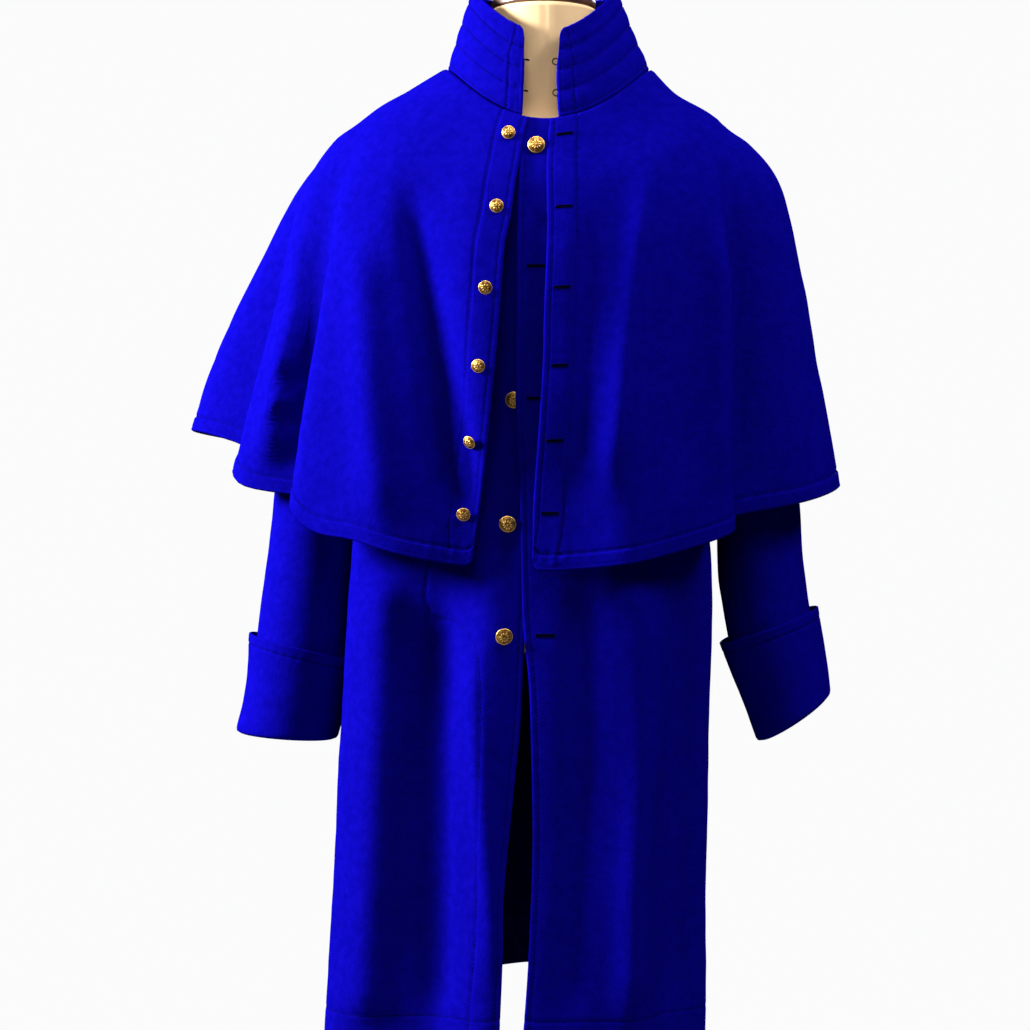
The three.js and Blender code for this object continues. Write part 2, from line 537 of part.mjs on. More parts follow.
/** A point of a sleeve or a cuff, `turn` degrees round from the outer line, at a row number. */
function tubePoint(rows, side, turn, row, inset) {
  const read = (name) => column(rows, "at", name, row);
  const outer = new THREE.Vector3(side * read("outX"), read("y"), read("outZ"));
  const inner = new THREE.Vector3(side * read("inX"), read("y"), read("inZ"));
  const middle = outer.clone().lerp(inner, 0.5);
  const across = outer.clone().sub(inner);
  const half = across.length() / 2 - inset;
  across.normalize().multiplyScalar(half * Math.cos(rad(turn)));
  return middle.add(across).add(new THREE.Vector3(0, (read("deep") - inset) * Math.sin(rad(turn)), 0));
}

/** Numbers the rows of a sleeve or cuff table. */
function numbered(rows) {
  return rows.map((row, k) => ({ ...row, at: k }));
}

/** The sleeve's ring at the armhole: inside the body's wall at 0, and just clear of it at 1. */
function armholeRing(side, turn, row, inset) {
  const q = armholePoint(turn, SEAM + inset);
  const guess = { angle: side * (90 + THREE.MathUtils.radToDeg(Math.atan2(q.y, 200))), at: q.z - 406 };
  const place = locate(COAT, "y", q.y, q.z, guess);
  const x = Math.abs(point(COAT, place.angle, place.at).x) + (row ? 5 : -2.4);
  return new THREE.Vector3(side * x, q.y, q.z);
}

const SLEEVE_ROWS = [0, 1, 2, 3, 4, 5, 6, 7, 8, 9, 10];
const TOP_COLUMNS = 13;
const UNDER_COLUMNS = 7;
const CUFF_FOLD = CLOTH + 4.5; // how far the cuff's lower edge turns in to the sleeve

/** The columns of the top sleeve, or of the under sleeve, round from the outer line. */
function pieceTurns(top, gap = 0) {
  return top
    ? spread(FRONT_SLEEVE_SEAM - 360 + gap, BACK_SLEEVE_SEAM - gap, TOP_COLUMNS)
    : spread(BACK_SLEEVE_SEAM + gap, FRONT_SLEEVE_SEAM - gap, UNDER_COLUMNS);
}

/** The columns all round a sleeve, its armhole and its cuff. */
function sleeveTurns() {
  return [...pieceTurns(true).slice(0, -1), ...pieceTurns(false).slice(0, -1)];
}

/** One of a sleeve's two pieces, between two seams. */
function sleevePiece(rows, cuff, side, top) {
  const turns = pieceTurns(top, 0.2);
  const grid = (inset) => {
    const end = inset + CUFF_FOLD + SEAM;
    return [
      turns.map((t) => armholeRing(side, t, 0, inset)),
      turns.map((t) => armholeRing(side, t, 1, inset)),
      ...SLEEVE_ROWS.map((row) => turns.map((t) => tubePoint(rows, side, t, row, inset))),
      turns.map((t) => tubePoint(cuff, side, t, 2.8, end)),
      turns.map((t) => tubePoint(cuff, side, t, 3, end)),
    ];
  };
  return wall(grid(0), grid(CLOTH));
}

/** Sleeves in two pieces each, and the turned-back cuffs round their ends. */
function makeSleeves() {
  for (const side of [-1, 1]) {
    const label = side < 0 ? "right" : "left";
    const rows = numbered(side < 0 ? SLEEVE_RIGHT : SLEEVE_LEFT);
    const cuff = numbered(side < 0 ? CUFF_RIGHT : CUFF_LEFT);
    add(`sleeve_${label}_top`, sleevePiece(rows, cuff, side, true), wool);
    add(`sleeve_${label}_under`, sleevePiece(rows, cuff, side, false), wool);
    const turns = sleeveTurns();
    const ring = (row, inset) => turns.map((t) => tubePoint(cuff, side, t, row, inset));
    add(`cuff_${label}`, wall(
      [ring(0, 0), ring(1, 0), ring(2, 0), ring(2.85, 0), ring(3, 1.2)],
      [ring(0, CLOTH), ring(1, CLOTH), ring(2, CLOTH), ring(2.85, CLOTH), ring(3, CUFF_FOLD)],
      true), wool);
  }
}

/** The angles of a cape half's columns, from its front edge to the centre back. */
function capeAngles(side, at) {
  const edge = side < 0 ? CAPE_EDGE_RIGHT : CAPE_EDGE_LEFT;
  const start = edgeAngle(CAPE_WORN, edge, at);
  const end = side * (BACK_CENTRE - gapAngle(CAPE_WORN, BACK_CENTRE, at));
  const shares = CAPE_SHARES[side < 0 ? "right" : "left"];
  return shares.map((w) => start + (end - start) * w);
}

// Where a cape half's columns lie between its front edge and the centre back: closer where it flutes.
const CAPE_SHARES = {
  right: [0, 0.014, 0.036, 0.08, 0.135, 0.185, 0.225, 0.255, 0.28, 0.305, 0.33, 0.355, 0.38, 0.405, 0.43, 0.455,
    0.485, 0.52, 0.56, 0.6, 0.64, 0.68, 0.72, 0.76, 0.8, 0.85, 0.9, 0.95, 1],
  left: [0, 0.012, 0.05, 0.1, 0.15, 0.2, 0.24, 0.27, 0.295, 0.32, 0.345, 0.375, 0.41, 0.45, 0.49, 0.53, 0.565,
    0.6, 0.635, 0.67, 0.71, 0.75, 0.79, 0.83, 0.87, 0.91, 0.955, 1],
};
const CAPE_ROWS = [
  0, 30, 60, 84, 106, 128, 150, 180, 218, 262, 306, 346, 384, 420, 462, 505,
  CAPE_LONG - HEM_TURN - 1.5, CAPE_LONG - HEM_TURN, CAPE_LONG,
];

/** The cape's two halves, with their turned-up hems. */
function makeCape() {
  for (const side of [-1, 1]) {
    const label = side < 0 ? "right" : "left";
    const raise = (angle, at) => (at > CAPE_LONG - HEM_TURN - 1 ? HEM_RAISE : 0);
    const geometry = panel(CAPE_WORN, CAPE_ROWS, (at) => {
      const list = capeAngles(side, at);
      if (at < CAPE_LONG) return list;
      return list.map((angle, j) => ({ angle, at: CAPE_LONG - [CAPE_CORNER * 0.8, CAPE_CORNER * 0.2][j] || CAPE_LONG }));
    }, raise);
    add(`cape_${label}`, geometry, wool);
  }
}

/** The standing collar, drawn in along its rows of stitching. */
function makeCollar() {
  const sheet = { ...COLLAR, thick: COLLAR_THICK };
  const rows = [0];
  STITCH_HEIGHTS.forEach((height, k) => {
    if (k > 0) rows.push((STITCH_HEIGHTS[k - 1] + height) / 2);
    rows.push(height);
  });
  rows.push((STITCH_HEIGHTS[STITCH_HEIGHTS.length - 1] + COLLAR_TALL) / 2, COLLAR_TALL);
  const columns = 24;
  const geometry = panel(sheet, rows, (at) => {
    const right = angleAtX(sheet, column(COLLAR_EDGE_RIGHT, "at", "x", at), at);
    const left = angleAtX(sheet, column(COLLAR_EDGE_LEFT, "at", "x", at), at) - 360;
    const corner = THREE.MathUtils.radToDeg(COLLAR_CORNER / 85);
    const list = [
      right, right - corner / 3, ...spread(right - corner, left + corner, columns - 4), left + corner / 3, left];
    if (at < COLLAR_TALL) return list;
    const drop = [COLLAR_CORNER, COLLAR_CORNER * 0.3, 0];
    return list.map((angle, j) => ({ angle, at: COLLAR_TALL - (drop[Math.min(j, list.length - 1 - j)] ?? 0) }));
  }, (angle, at) => (STITCH_HEIGHTS.includes(at) ? -STITCH_SINK : 0));
  add("collar", geometry, wool);
}

/** Two wire hooks behind the collar's right front edge and two eyes behind its left one. */
function makeFasteners() {
  const sheet = { ...COLLAR, thick: COLLAR_THICK };
  FASTENER_HEIGHTS.forEach((at, k) => {
    for (const side of [-1, 1]) {
      const edge = side < 0 ? COLLAR_EDGE_RIGHT : COLLAR_EDGE_LEFT;
      const angle = angleAtX(sheet, column(edge, "at", "x", at), at);
      const facing = normal(sheet, angle, at);
      const past = point(sheet, angle - side, at).sub(point(sheet, angle, at)).normalize();
      const lie = point(sheet, angle, at).addScaledVector(facing, -(COLLAR_THICK + WIRE + SEAM + 0.3));
      if (side < 0) {
        const path = new THREE.CatmullRomCurve3(
          HOOK.map((q) => lie.clone().addScaledVector(past, q.past).addScaledVector(facing, q.out)));
        const round = new THREE.Shape().absarc(0, 0, WIRE, 0, Math.PI * 2);
        add(`collar_hook_${k + 1}`,
          new THREE.ExtrudeGeometry(round, { steps: 9, curveSegments: 3, extrudePath: path, bevelEnabled: false }), wire);
      } else {
        const ring = new THREE.TorusGeometry(EYE_RADIUS, WIRE, 5, 12);
        ring.applyMatrix4(new THREE.Matrix4().makeBasis(past, facing.clone().cross(past), facing));
        add(`collar_eye_${k + 1}`, ring, wire);
        coat.children[coat.children.length - 1].position.copy(lie.addScaledVector(past, EYE_RADIUS - 1.5));
      }
    }
  });
}

/** A domed button with its shank, turned about its own axis. */
function buttonGeometry(size) {
  const profile = [
    [0, 0], [SHANK.radius, 0], [SHANK.radius, SHANK.long], [size.radius, SHANK.long + 0.6],
    [size.radius * 0.78, SHANK.long + size.dome * 0.78], [0, SHANK.long + size.dome],
  ].map(([r, h]) => new THREE.Vector2(r, h));
  return new THREE.LatheGeometry(profile, 10).rotateX(Math.PI / 2);
}

/** Where a button sits: its shank just clear of the cloth, hanging down a little. */
function buttonPlace(sheet, angle, at, press = 0) {
  const facing = normal(sheet, angle, at);
  const clear = SHANK.radius * Math.sin(rad(BUTTON_DROOP)) + 0.45 - press;
  const foot = point(sheet, angle, at).addScaledVector(facing, clear);
  facing.applyAxisAngle(new THREE.Vector3(1, 0, 0), rad(BUTTON_DROOP));
  return { at: foot, facing };
}

/** Five buttons down the coat and six down the cape. */
function makeButtons() {
  COAT_BUTTONS.forEach(({ x, z, over }, k) => {
    const sheet = over ? COAT_OVER : COAT;
    const { angle, at } = locate(sheet, "x", x, z, { angle: -5, at: z - 392 });
    add(`coat_button_${k + 1}`, buttonGeometry(COAT_BUTTON), brass, buttonPlace(sheet, angle, at));
  });
  CAPE_BUTTONS.forEach(({ z, press }, k) => {
    const x = column(CAPE_EDGE_RIGHT, "z", "x", z) - CAPE_BUTTON_IN;
    const { angle, at } = locate(CAPE_WORN, "x", x, z, { angle: -20, at: 1480 - z });
    add(`cape_button_${k + 1}`, buttonGeometry(CAPE_BUTTON), brass, buttonPlace(CAPE_WORN, angle, at, press));
  });
}

/** The form inside the coat: its shoulders carry the coat. */
const FORM_WORN = {
  ...FORM,
  over: COAT,
  along: (at) => at + FORM_TO_COAT,
  share: (at) => ease(535, 575, at) * (1 - ease(697, 722, at)),
  stands: -(CLOTH + FORM_CLEAR),
};

/** The dress form: torso, shoulders and neck in one smooth body. */
function makeForm() {
  const columns = 28;
  const ats = [0, 12, 30, 60, 90, 160, 230, 305, 380, 430, 480, 520, 556, 575, 592, 618, 645, 672, 700, 718, 735, 748, 762, 810];
  const positions = [];
  const index = [];
  ats.forEach((at) => {
    for (let j = 0; j < columns; j += 1) {
      const p = point(FORM_WORN, (j * 360) / columns, at);
      positions.push(p.x, p.y, p.z);
    }
  });
  for (let i = 0; i < ats.length - 1; i += 1)
    for (let j = 0; j < columns; j += 1) {
      const a = i * columns + j;
      const b = i * columns + ((j + 1) % columns);
      index.push(a, b, b + columns, a, b + columns, a + columns);
    }
  for (const i of [0, ats.length - 1]) {
    const centre = positions.length / 3;
    positions.push(0, 0, positions[3 * i * columns + 2]);
    for (let j = 0; j < columns; j += 1) {
      const a = i * columns + j;
      const b = i * columns + ((j + 1) % columns);
      if (i) index.push(a, b, centre);
      else index.push(b, a, centre);
    }
  }
  add("form_torso", outward(positions, index), linen);
}

/** A turned piece standing on the axis, from [radius, height] pairs. */
function turnedPiece(pairs, segments = 32) {
  return new THREE.LatheGeometry(pairs.map(([r, z]) => new THREE.Vector2(r, z)), segments).rotateX(Math.PI / 2);
}

/** Neck cap, pole and base. */
function makeStand() {
  const neckTop = FORM.rows[FORM.rows.length - 1].zFront + 0.3;
  const { radius, tall, knob } = NECK_CAP;
  add("form_neck_cap", turnedPiece([
    [0, neckTop], [radius - 2, neckTop], [radius, neckTop + 3], [radius, neckTop + tall - 4],
    [radius - 5, neckTop + tall], [knob * 0.6, neckTop + tall], [knob * 0.5, neckTop + tall + 5],
    [knob, neckTop + tall + 14], [knob * 0.8, neckTop + tall + 24], [0, neckTop + tall + 29],
  ], 28), timber);
  const poleTop = FORM.rows[0].zFront - 0.3;
  const hubTop = BASE.hubTall;
  add("stand_pole", turnedPiece([
    [0, hubTop + 0.3], [POLE_RADIUS, hubTop + 0.3], [POLE_RADIUS, poleTop - 16],
    [POLE_RADIUS + 12, poleTop - 16], [POLE_RADIUS + 12, poleTop], [0, poleTop],
  ], 20), iron);
  add("stand_base", turnedPiece([
    [0, 0], [BASE.radius - 3, 0], [BASE.radius, 3], [BASE.radius, BASE.edge], [BASE.radius - 8, BASE.edge + 5],
    [BASE.hub + 30, BASE.edge + 12], [BASE.hub, BASE.edge + 22], [BASE.hub - 8, hubTop], [0, hubTop],
  ], 40), iron);
}

makeBody();
makeSleeves();
makeCape();
makeCollar();
makeFasteners();
makeButtons();
makeForm();
makeStand();

export default coat;
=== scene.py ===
"""Looks of a caped wool greatcoat on a dress form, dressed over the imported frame.

Lengths in the surface code are millimetres and meshes are made in metres. Angles go round the form's
axis: 0 is the front, positive towards +X and the wearer's left, 180 the centre back.
"""
import logging
import math
from dataclasses import dataclass, field
from enum import Enum
from typing import Callable, Optional, Sequence

import bpy
import numpy as np
from mathutils import Matrix, Vector


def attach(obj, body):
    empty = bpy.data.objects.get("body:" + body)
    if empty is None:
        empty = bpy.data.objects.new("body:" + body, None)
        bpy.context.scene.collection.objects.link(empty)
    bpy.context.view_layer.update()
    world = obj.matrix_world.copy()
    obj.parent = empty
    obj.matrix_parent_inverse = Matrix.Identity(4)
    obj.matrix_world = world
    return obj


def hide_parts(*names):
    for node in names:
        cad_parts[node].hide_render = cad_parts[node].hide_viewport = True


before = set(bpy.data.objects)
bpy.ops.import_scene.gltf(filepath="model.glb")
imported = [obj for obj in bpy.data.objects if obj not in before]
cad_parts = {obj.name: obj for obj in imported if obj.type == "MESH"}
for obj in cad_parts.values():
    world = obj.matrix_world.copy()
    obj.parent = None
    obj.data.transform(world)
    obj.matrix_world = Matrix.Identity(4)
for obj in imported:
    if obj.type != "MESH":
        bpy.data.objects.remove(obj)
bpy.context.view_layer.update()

logging.basicConfig(level=logging.INFO, format="%(levelname)s %(name)s: %(message)s")
log = logging.getLogger("greatcoat")

Array = np.ndarray
Colour = tuple[float, float, float]

MM = 0.001
CLOTH = 3.0
SEAM = 0.36
COLLAR_THICK = 5.0
COLLAR_TALL = 100.0
COLLAR_LONG = 640.0
CAPE_LONG = 549.0
COAT_NECK = 1200.0
RIM_BULGE = 0.32
HEM_TURN = 16.0
HEM_RAISE = 1.1
FACING = 34.0
EDGE_STITCH = 6.0
STITCH_PITCH = 4.4
STITCH_LONG = 3.1
STITCH_THICK = 0.34
ARMHOLE_Z = 1371.0
ARMHOLE_TALL = 95.0
ARMHOLE_DEEP = 70.0
FRONT_SLEEVE_SEAM = 232.0
BACK_SLEEVE_SEAM = 118.0
CUFF_FOLD = CLOTH + 4.5
COLLAR_STITCHES = (5.0, 32.0, 58.0, 84.0)
COLLAR_END_STITCH = 19.0
FASTENER_HEIGHTS = (30.0, 66.0)
WIRE_RADIUS = 0.75
EYE_RADIUS = 3.9
BUTTON_DROOP = 22.0
CAMERA_PLACE = (-0.035, -2.77, 1.0)
CAMERA_LENS = 2261.0 / 1030.0 * 36.0
NAP_DEEP = 0.0016
WEAVE_DEEP = 0.0004
GRIME_DEEP = 0.0002
GRAIN_DEEP = 0.0003
FLOOR_RADIUS = 1380.0
FLOOR_SIDES = 96
FLOOR_RINGS = 12
FLOOR_FADE = (0.7, 1.36)


class Side(Enum):
    """The wearer's right, which is the viewer's left, or the wearer's left."""

    RIGHT = -1
    LEFT = 1

    @property
    def sign(self) -> int:
        """Which way X goes on this side."""
        return self.value

    @property
    def label(self) -> str:
        """The side's word in the names of pieces."""
        return self.name.lower()


class Layer(Enum):
    """The material slots of a shell of cloth: the outer face, and the inner face in a darker wool that paints
    the shade inside the coat.
    """

    OUTSIDE = 0
    INSIDE = 1


@dataclass(frozen=True)
class Finish:
    """The colours and surface numbers of a material."""

    name: str
    deep: Colour
    light: Colour
    roughness: float
    metallic: float = 0.0
    specular: float = 0.5
    bump: float = 0.2


@dataclass(frozen=True)
class Section:
    """One section of a sheet: its half widths, depths and heights, and how square it is."""

    at: float
    left: float
    right: float
    front: float
    back: float
    z_front: float
    z_side: float
    z_right: float
    z_back: float
    square: float
    rise: float = 2.0
    rise_right: float = 2.0


@dataclass(frozen=True)
class Fold:
    """A soft fold of a sheet.

    It is full at `full`, gone at `gone`, and leans by some degrees where it is gone. `out` moves the
    cloth away from the axis and `drop` lets it hang lower.
    """

    angle: float
    wide: float
    out: float
    gone: float
    full: float
    lean: float = 0.0
    drop: float = 0.0
    power: float = 1.0


@dataclass(frozen=True)
class Crease:
    """A soft trough or ridge along points seen from the front.

    It moves only the cloth that lies further round than `beyond` degrees from the front.
    """

    path: tuple[tuple[float, float], ...]
    wide: float
    out: float
    fade: float = 0.25
    beyond: float = 0.0


def ease(a: float, b: float, t: Array) -> Array:
    """Goes smoothly from 0 at `a` to 1 at `b`."""
    u = np.clip((np.asarray(t, float) - a) / (b - a), 0.0, 1.0)
    return u * u * (3 - 2 * u)


def curve(xs: Sequence[float], ys: Sequence[float], t: Array) -> Array:
    """Reads a smooth curve through points.

    Args:
        xs: rising places of the points.
        ys: the value at each.
        t: where to read; outside the points the end values hold.

    Returns:
        The values at `t`.
    """
    x = np.asarray(xs, float)
    y = np.asarray(ys, float)
    u = np.clip(np.asarray(t, float), x[0], x[-1])
    i = np.clip(np.searchsorted(x, u, side="right") - 1, 0, len(x) - 2)
    low = np.maximum(0, np.arange(len(x)) - 1)
    high = np.minimum(len(x) - 1, np.arange(len(x)) + 1)
    slope = (y[high] - y[low]) / (x[high] - x[low])
    step = x[i + 1] - x[i]
    w = (u - x[i]) / step
    return (
        (2 * w**3 - 3 * w**2 + 1) * y[i]
        + (w**3 - 2 * w**2 + w) * step * slope[i]
        + (3 * w**2 - 2 * w**3) * y[i + 1]
        + (w**3 - w**2) * step * slope[i + 1]
    )


def turned(angle: Array) -> Array:
    """Brings angles to between -180 and 180 degrees."""
    return (np.asarray(angle, float) + 180.0) % 360.0 - 180.0


def unit(v: Array) -> Array:
    """Scales vectors to length one."""
    return v / np.maximum(np.linalg.norm(v, axis=-1, keepdims=True), 1e-9)


def wander(points: Array, size: float, seed: float = 0.0) -> Array:
    """A smooth unevenness between about -1 and 1, from waves that cross each other.

    Args:
        points: places in millimetres, with X, Y and Z last.
        size: how far apart its hills are.
        seed: gives another set of hills.

    Returns:
        One value for each place.
    """
    total = np.zeros(points.shape[:-1])
    for k in range(7):
        turn = seed + k * 2.399
        way = np.array([math.cos(turn), math.sin(turn * 1.7), math.sin(turn) * 0.8 + 0.3])
        way = way / np.linalg.norm(way)
        length = size * (0.7 + 0.13 * k)
        total += np.sin(points @ way * (2 * math.pi / length) + seed * 3.1 + k * 1.9)
    return total / 4.2


@dataclass(frozen=True)
class Sheet:
    """A surface round the form, given by sections and folds, which may rest on another surface."""

    sections: tuple[Section, ...]
    folds: tuple[Fold, ...] = ()
    lift: Optional[Callable[[Array, Array], Array]] = None
    over: Optional["Sheet"] = None
    along: Optional[Callable[[Array], Array]] = None
    share: Optional[Callable[[Array], Array]] = None
    stands: float = 0.0

    def read(self, name: str, at: Array) -> Array:
        """Reads one column of the sections at distances along the sheet."""
        return curve([s.at for s in self.sections], [getattr(s, name) for s in self.sections], at)

    def folded(self, name: str, angle: Array, at: Array) -> Array:
        """Adds up the folds' `out` or `drop` at angles and distances."""
        total = np.zeros(np.broadcast(angle, at).shape)
        for f in self.folds:
            grown = ease(f.gone, f.full, at) ** f.power
            off = turned(angle - f.angle - f.lean * (1 - grown)) / f.wide
            total = total + getattr(f, name) * grown * np.exp(-off * off)
        return total

    def own(self, angle: Array, at: Array) -> Array:
        """Points from the sheet's own sections, folds and lift."""
        a = turned(angle)
        s = np.sin(np.radians(a))
        c = np.cos(np.radians(a))
        half = np.where(a < 0, self.read("left", at), self.read("right", at))
        front = np.abs(a) < 90
        deep = np.where(front, self.read("front", at), self.read("back", at))
        n = self.read("square", at)
        base = ((np.abs(s) / half) ** n + (np.abs(c) / deep) ** n) ** (-1 / n)
        rise = np.where(a > 0, self.read("rise_right", at), self.read("rise", at))
        side = np.minimum(1.0, np.abs(base * s) / half) ** rise
        z_side = np.where(a > 0, self.read("z_right", at), self.read("z_side", at))
        z_end = np.where(front, self.read("z_front", at), self.read("z_back", at))
        r = base + self.folded("out", a, at)
        if self.lift is not None:
            r = r + self.lift(a, at)
        z = z_end + (z_side - z_end) * side - self.folded("drop", a, at)
        return np.stack(np.broadcast_arrays(r * s, -r * c, z), -1)

    def point(self, angle: Array, at: Array) -> Array:
        """Points of the outer face."""
        angle, at = np.broadcast_arrays(np.asarray(angle, float), np.asarray(at, float))
        mine = self.own(angle, at)
        if self.over is None:
            return mine
        along = self.along(at)
        under = self.over.point(angle, along) + self.over.normal(angle, along) * self.stands
        return mine + (under - mine) * self.share(at)[..., None]

    def normal(self, angle: Array, at: Array) -> Array:
        """Outward directions of the outer face."""
        angle, at = np.broadcast_arrays(np.asarray(angle, float), np.asarray(at, float))
        step = 0.05
        across = self.point(angle + step, at) - self.point(angle - step, at)
        along = self.point(angle, at + step) - self.point(angle, at - step)
        n = unit(np.cross(across, along))
        turn = np.radians(angle)
        radial = np.stack([np.sin(turn), -np.cos(turn), np.full(angle.shape, 0.5)], -1)
        return np.where((n * radial).sum(-1, keepdims=True) < 0, -n, n)

    def locate(self, axis: int, value: Array, z: Array, angle: Array, at: Array) -> tuple[Array, Array]:
        """Finds where the sheet has given heights and given X or Y values.

        Args:
            axis: 0 for X, 1 for Y.
            value: the wanted X or Y.
            z: the wanted heights.
            angle: first guesses of the angle.
            at: first guesses of the distance along the sheet.

        Returns:
            The angles and the distances.
        """
        angle, at, value, z = (np.array(v, float) for v in np.broadcast_arrays(angle, at, value, z))
        step = 0.05
        for _ in range(25):
            p = self.point(angle, at)
            across = (self.point(angle + step, at) - p) / step
            along = (self.point(angle, at + step) - p) / step
            off = value - p[..., axis]
            up = z - p[..., 2]
            det = across[..., axis] * along[..., 2] - along[..., axis] * across[..., 2]
            angle = angle + np.clip((off * along[..., 2] - up * along[..., axis]) / det, -8, 8)
            at = at + np.clip((up * across[..., axis] - off * across[..., 2]) / det, -40, 40)
        return angle, at

    def angle_at_x(self, x: Array, at: Array) -> Array:
        """The angles near the front at which the sheet has given X values."""
        angle = np.zeros(np.broadcast(x, at).shape)
        for _ in range(12):
            p = self.point(angle, at)
            angle = np.degrees(np.arcsin(x / np.hypot(p[..., 0], p[..., 1])))
        return angle

    def edge_angle(self, edge: "Edge", at: Array) -> Array:
        """The angles of a front edge that is tabled by height."""
        return self.angle_at_x(edge.x(self.read("z_front", at)), at)


@dataclass(frozen=True)
class Edge:
    """A front edge: its distance from the middle at a few heights or distances."""

    pairs: tuple[tuple[float, float], ...]

    def x(self, z: Array) -> Array:
        """The distance from the middle."""
        return curve([p[0] for p in self.pairs], [p[1] for p in self.pairs], z)


LAP = Edge((
    (392, 4), (800, 4), (980, 6), (1080, 13.4), (1200, 14), (1300, 14.4), (1350, 11), (1420, 5), (1470, 4),
))


def lap_lift(angle: Array, z: Array) -> Array:
    """How far the lap lifts the cloth at an angle and a height."""
    return LAP.x(z) * (1 - ease(6, 38, angle)) * ease(-50, -24, angle)


def coat_fold(angle: float, wide: float, out: float, low: float, high: float, lean: float = 0.0) -> Fold:
    """A fold of the skirt: full below `low` and gone above `high`."""
    return Fold(angle, wide, out, high, low, lean)


def cape_fold(angle: float, wide: float, out: float, start: float, lean: float = 0.0,
              drop: float = 0.0) -> Fold:
    """A flute of the cape: full at the hem and gone at `start`."""
    return Fold(angle, wide, out, start, CAPE_LONG, lean, drop, 0.8)


COAT_SECTIONS = (
    Section(0, 256, 198, 188, 214, 392, 386, 386, 412, 2.2),
    Section(160, 244, 198, 183, 200, 556, 556, 556, 570, 2.25),
    Section(340, 233, 202, 178, 184, 739, 741, 741, 748, 2.3),
    Section(520, 220, 208, 172, 166, 920, 922, 922, 926, 2.35),
    Section(685, 203, 197, 165, 147, 1080, 1085, 1085, 1090, 2.4),
    Section(830, 193, 190, 160, 143, 1215, 1232, 1232, 1240, 2.4),
    Section(885, 195, 194, 155, 144, 1266, 1286, 1286, 1300, 2.4),
    Section(970, 206, 206, 148, 145, 1330, 1374, 1374, 1385, 2.35),
    Section(1056, 219, 219, 139, 139, 1382, 1460, 1458, 1440, 2.25),
    Section(1090, 205, 203, 133, 133, 1400, 1488, 1484, 1462, 2.15),
    Section(1142, 162, 159, 118, 114, 1432, 1515, 1510, 1500, 2.05),
    Section(1200, 116, 128, 101, 91, 1468, 1543, 1543, 1548, 2),
)
COAT_FOLDS = (
    coat_fold(-66, 13, 29, 620, 860),
    coat_fold(-41, 11, -15, 420, 700, 5),
    coat_fold(-20, 7, 7, 420, 620, -3),
    coat_fold(30, 8, 10, 420, 660, -6),
    coat_fold(49, 9, -10, 300, 640),
    coat_fold(66, 8, 8, 440, 780, -4),
    coat_fold(81, 7, -14, 480, 760),
    coat_fold(-122, 10, -16, 300, 640, -4),
    coat_fold(-142, 10, 10, 300, 640, 3),
    coat_fold(-164, 8, -12, 260, 600),
    coat_fold(160, 9, -10, 240, 560, 2),
    coat_fold(138, 11, 12, 300, 640, -3),
    coat_fold(116, 9, -13, 300, 640, 4),
)
CAPE_SECTIONS = (
    Section(0, 119, 131, 105, 94, 1469, 1544, 1544, 1549, 2, 2, 2),
    Section(60, 168, 165, 123, 118, 1430, 1516, 1511, 1500, 2.05, 2, 2),
    Section(130, 229, 224, 147, 145, 1382, 1482, 1477, 1447, 2.2, 2, 2),
    Section(218, 292, 283, 166, 166, 1280, 1413, 1410, 1352, 2.25, 2.2, 2),
    Section(354, 335, 310, 178, 186, 1138, 1293, 1284, 1216, 2.2, 2.4, 2),
    Section(455, 366, 328, 184, 202, 1034, 1204, 1174, 1117, 2.1, 2.5, 1.9),
    Section(549, 392, 353, 189, 216, 937, 1118, 1040, 1026, 2, 2.5, 1.85),
)
CAPE_FOLDS = (
    cape_fold(-22, 8, 8, 150),
    cape_fold(-26, 8, -14, 40, -22),
    cape_fold(-47, 11, 16, 60, -4),
    cape_fold(-64, 8, 3, 120, -2, 24),
    cape_fold(-76, 5, -74, 120, 4, 22),
    cape_fold(-84, 8, -8, 140, 2, 66),
    cape_fold(-92, 3.6, -54, 150, 2, 14),
    cape_fold(-100, 7.5, 68, 120),
    cape_fold(-117, 7, -40, 130, 2),
    cape_fold(-133, 8, 20, 170, -3),
    cape_fold(-151, 8, -26, 150),
    cape_fold(-176, 12, 10, 180),
    cape_fold(154, 8, -28, 170, 3),
    cape_fold(134, 9, 18, 150),
    cape_fold(114, 7, -34, 130, -2),
    cape_fold(80, 8, 14, 130),
    cape_fold(65, 5.5, -52, 110, 3),
    cape_fold(26, 9, 12, 160),
)
COLLAR_SECTIONS = (
    Section(0, 117.5, 129.5, 103, 92.5, 1469.6, 1544.8, 1544.8, 1549.8, 2),
    Section(50, 103, 109, 92, 83, 1522, 1591, 1591, 1597, 2),
    Section(COLLAR_TALL, 89, 91, 82, 77, 1576, 1638, 1638, 1645, 2),
)
FORM_SECTIONS = (
    Section(0, 150, 150, 104, 104, 838, 838, 838, 838, 2.1),
    Section(30, 168, 168, 118, 118, 872, 872, 872, 872, 2.15),
    Section(90, 172, 172, 124, 124, 935, 935, 935, 935, 2.2),
    Section(230, 146, 146, 108, 102, 1078, 1078, 1078, 1078, 2.2),
    Section(380, 170, 170, 128, 116, 1225, 1235, 1235, 1235, 2.3),
    Section(470, 184, 184, 130, 124, 1300, 1345, 1345, 1325, 2.3),
    Section(560, 200, 200, 122, 124, 1365, 1440, 1440, 1410, 2.25),
    Section(590, 196, 196, 116, 119, 1384, 1474, 1474, 1440, 2.15),
    Section(645, 158, 158, 101, 102, 1418, 1502.6, 1502.6, 1480, 2.05),
    Section(700, 110, 110, 84, 80, 1450, 1532.4, 1532.4, 1522, 2),
    Section(735, 76, 76, 70, 68, 1476, 1552, 1552, 1548, 2),
    Section(760, 66, 66, 66, 66, 1516, 1570, 1570, 1570, 2),
    Section(810, 65, 65, 65, 65, 1615, 1615, 1615, 1615, 2),
)

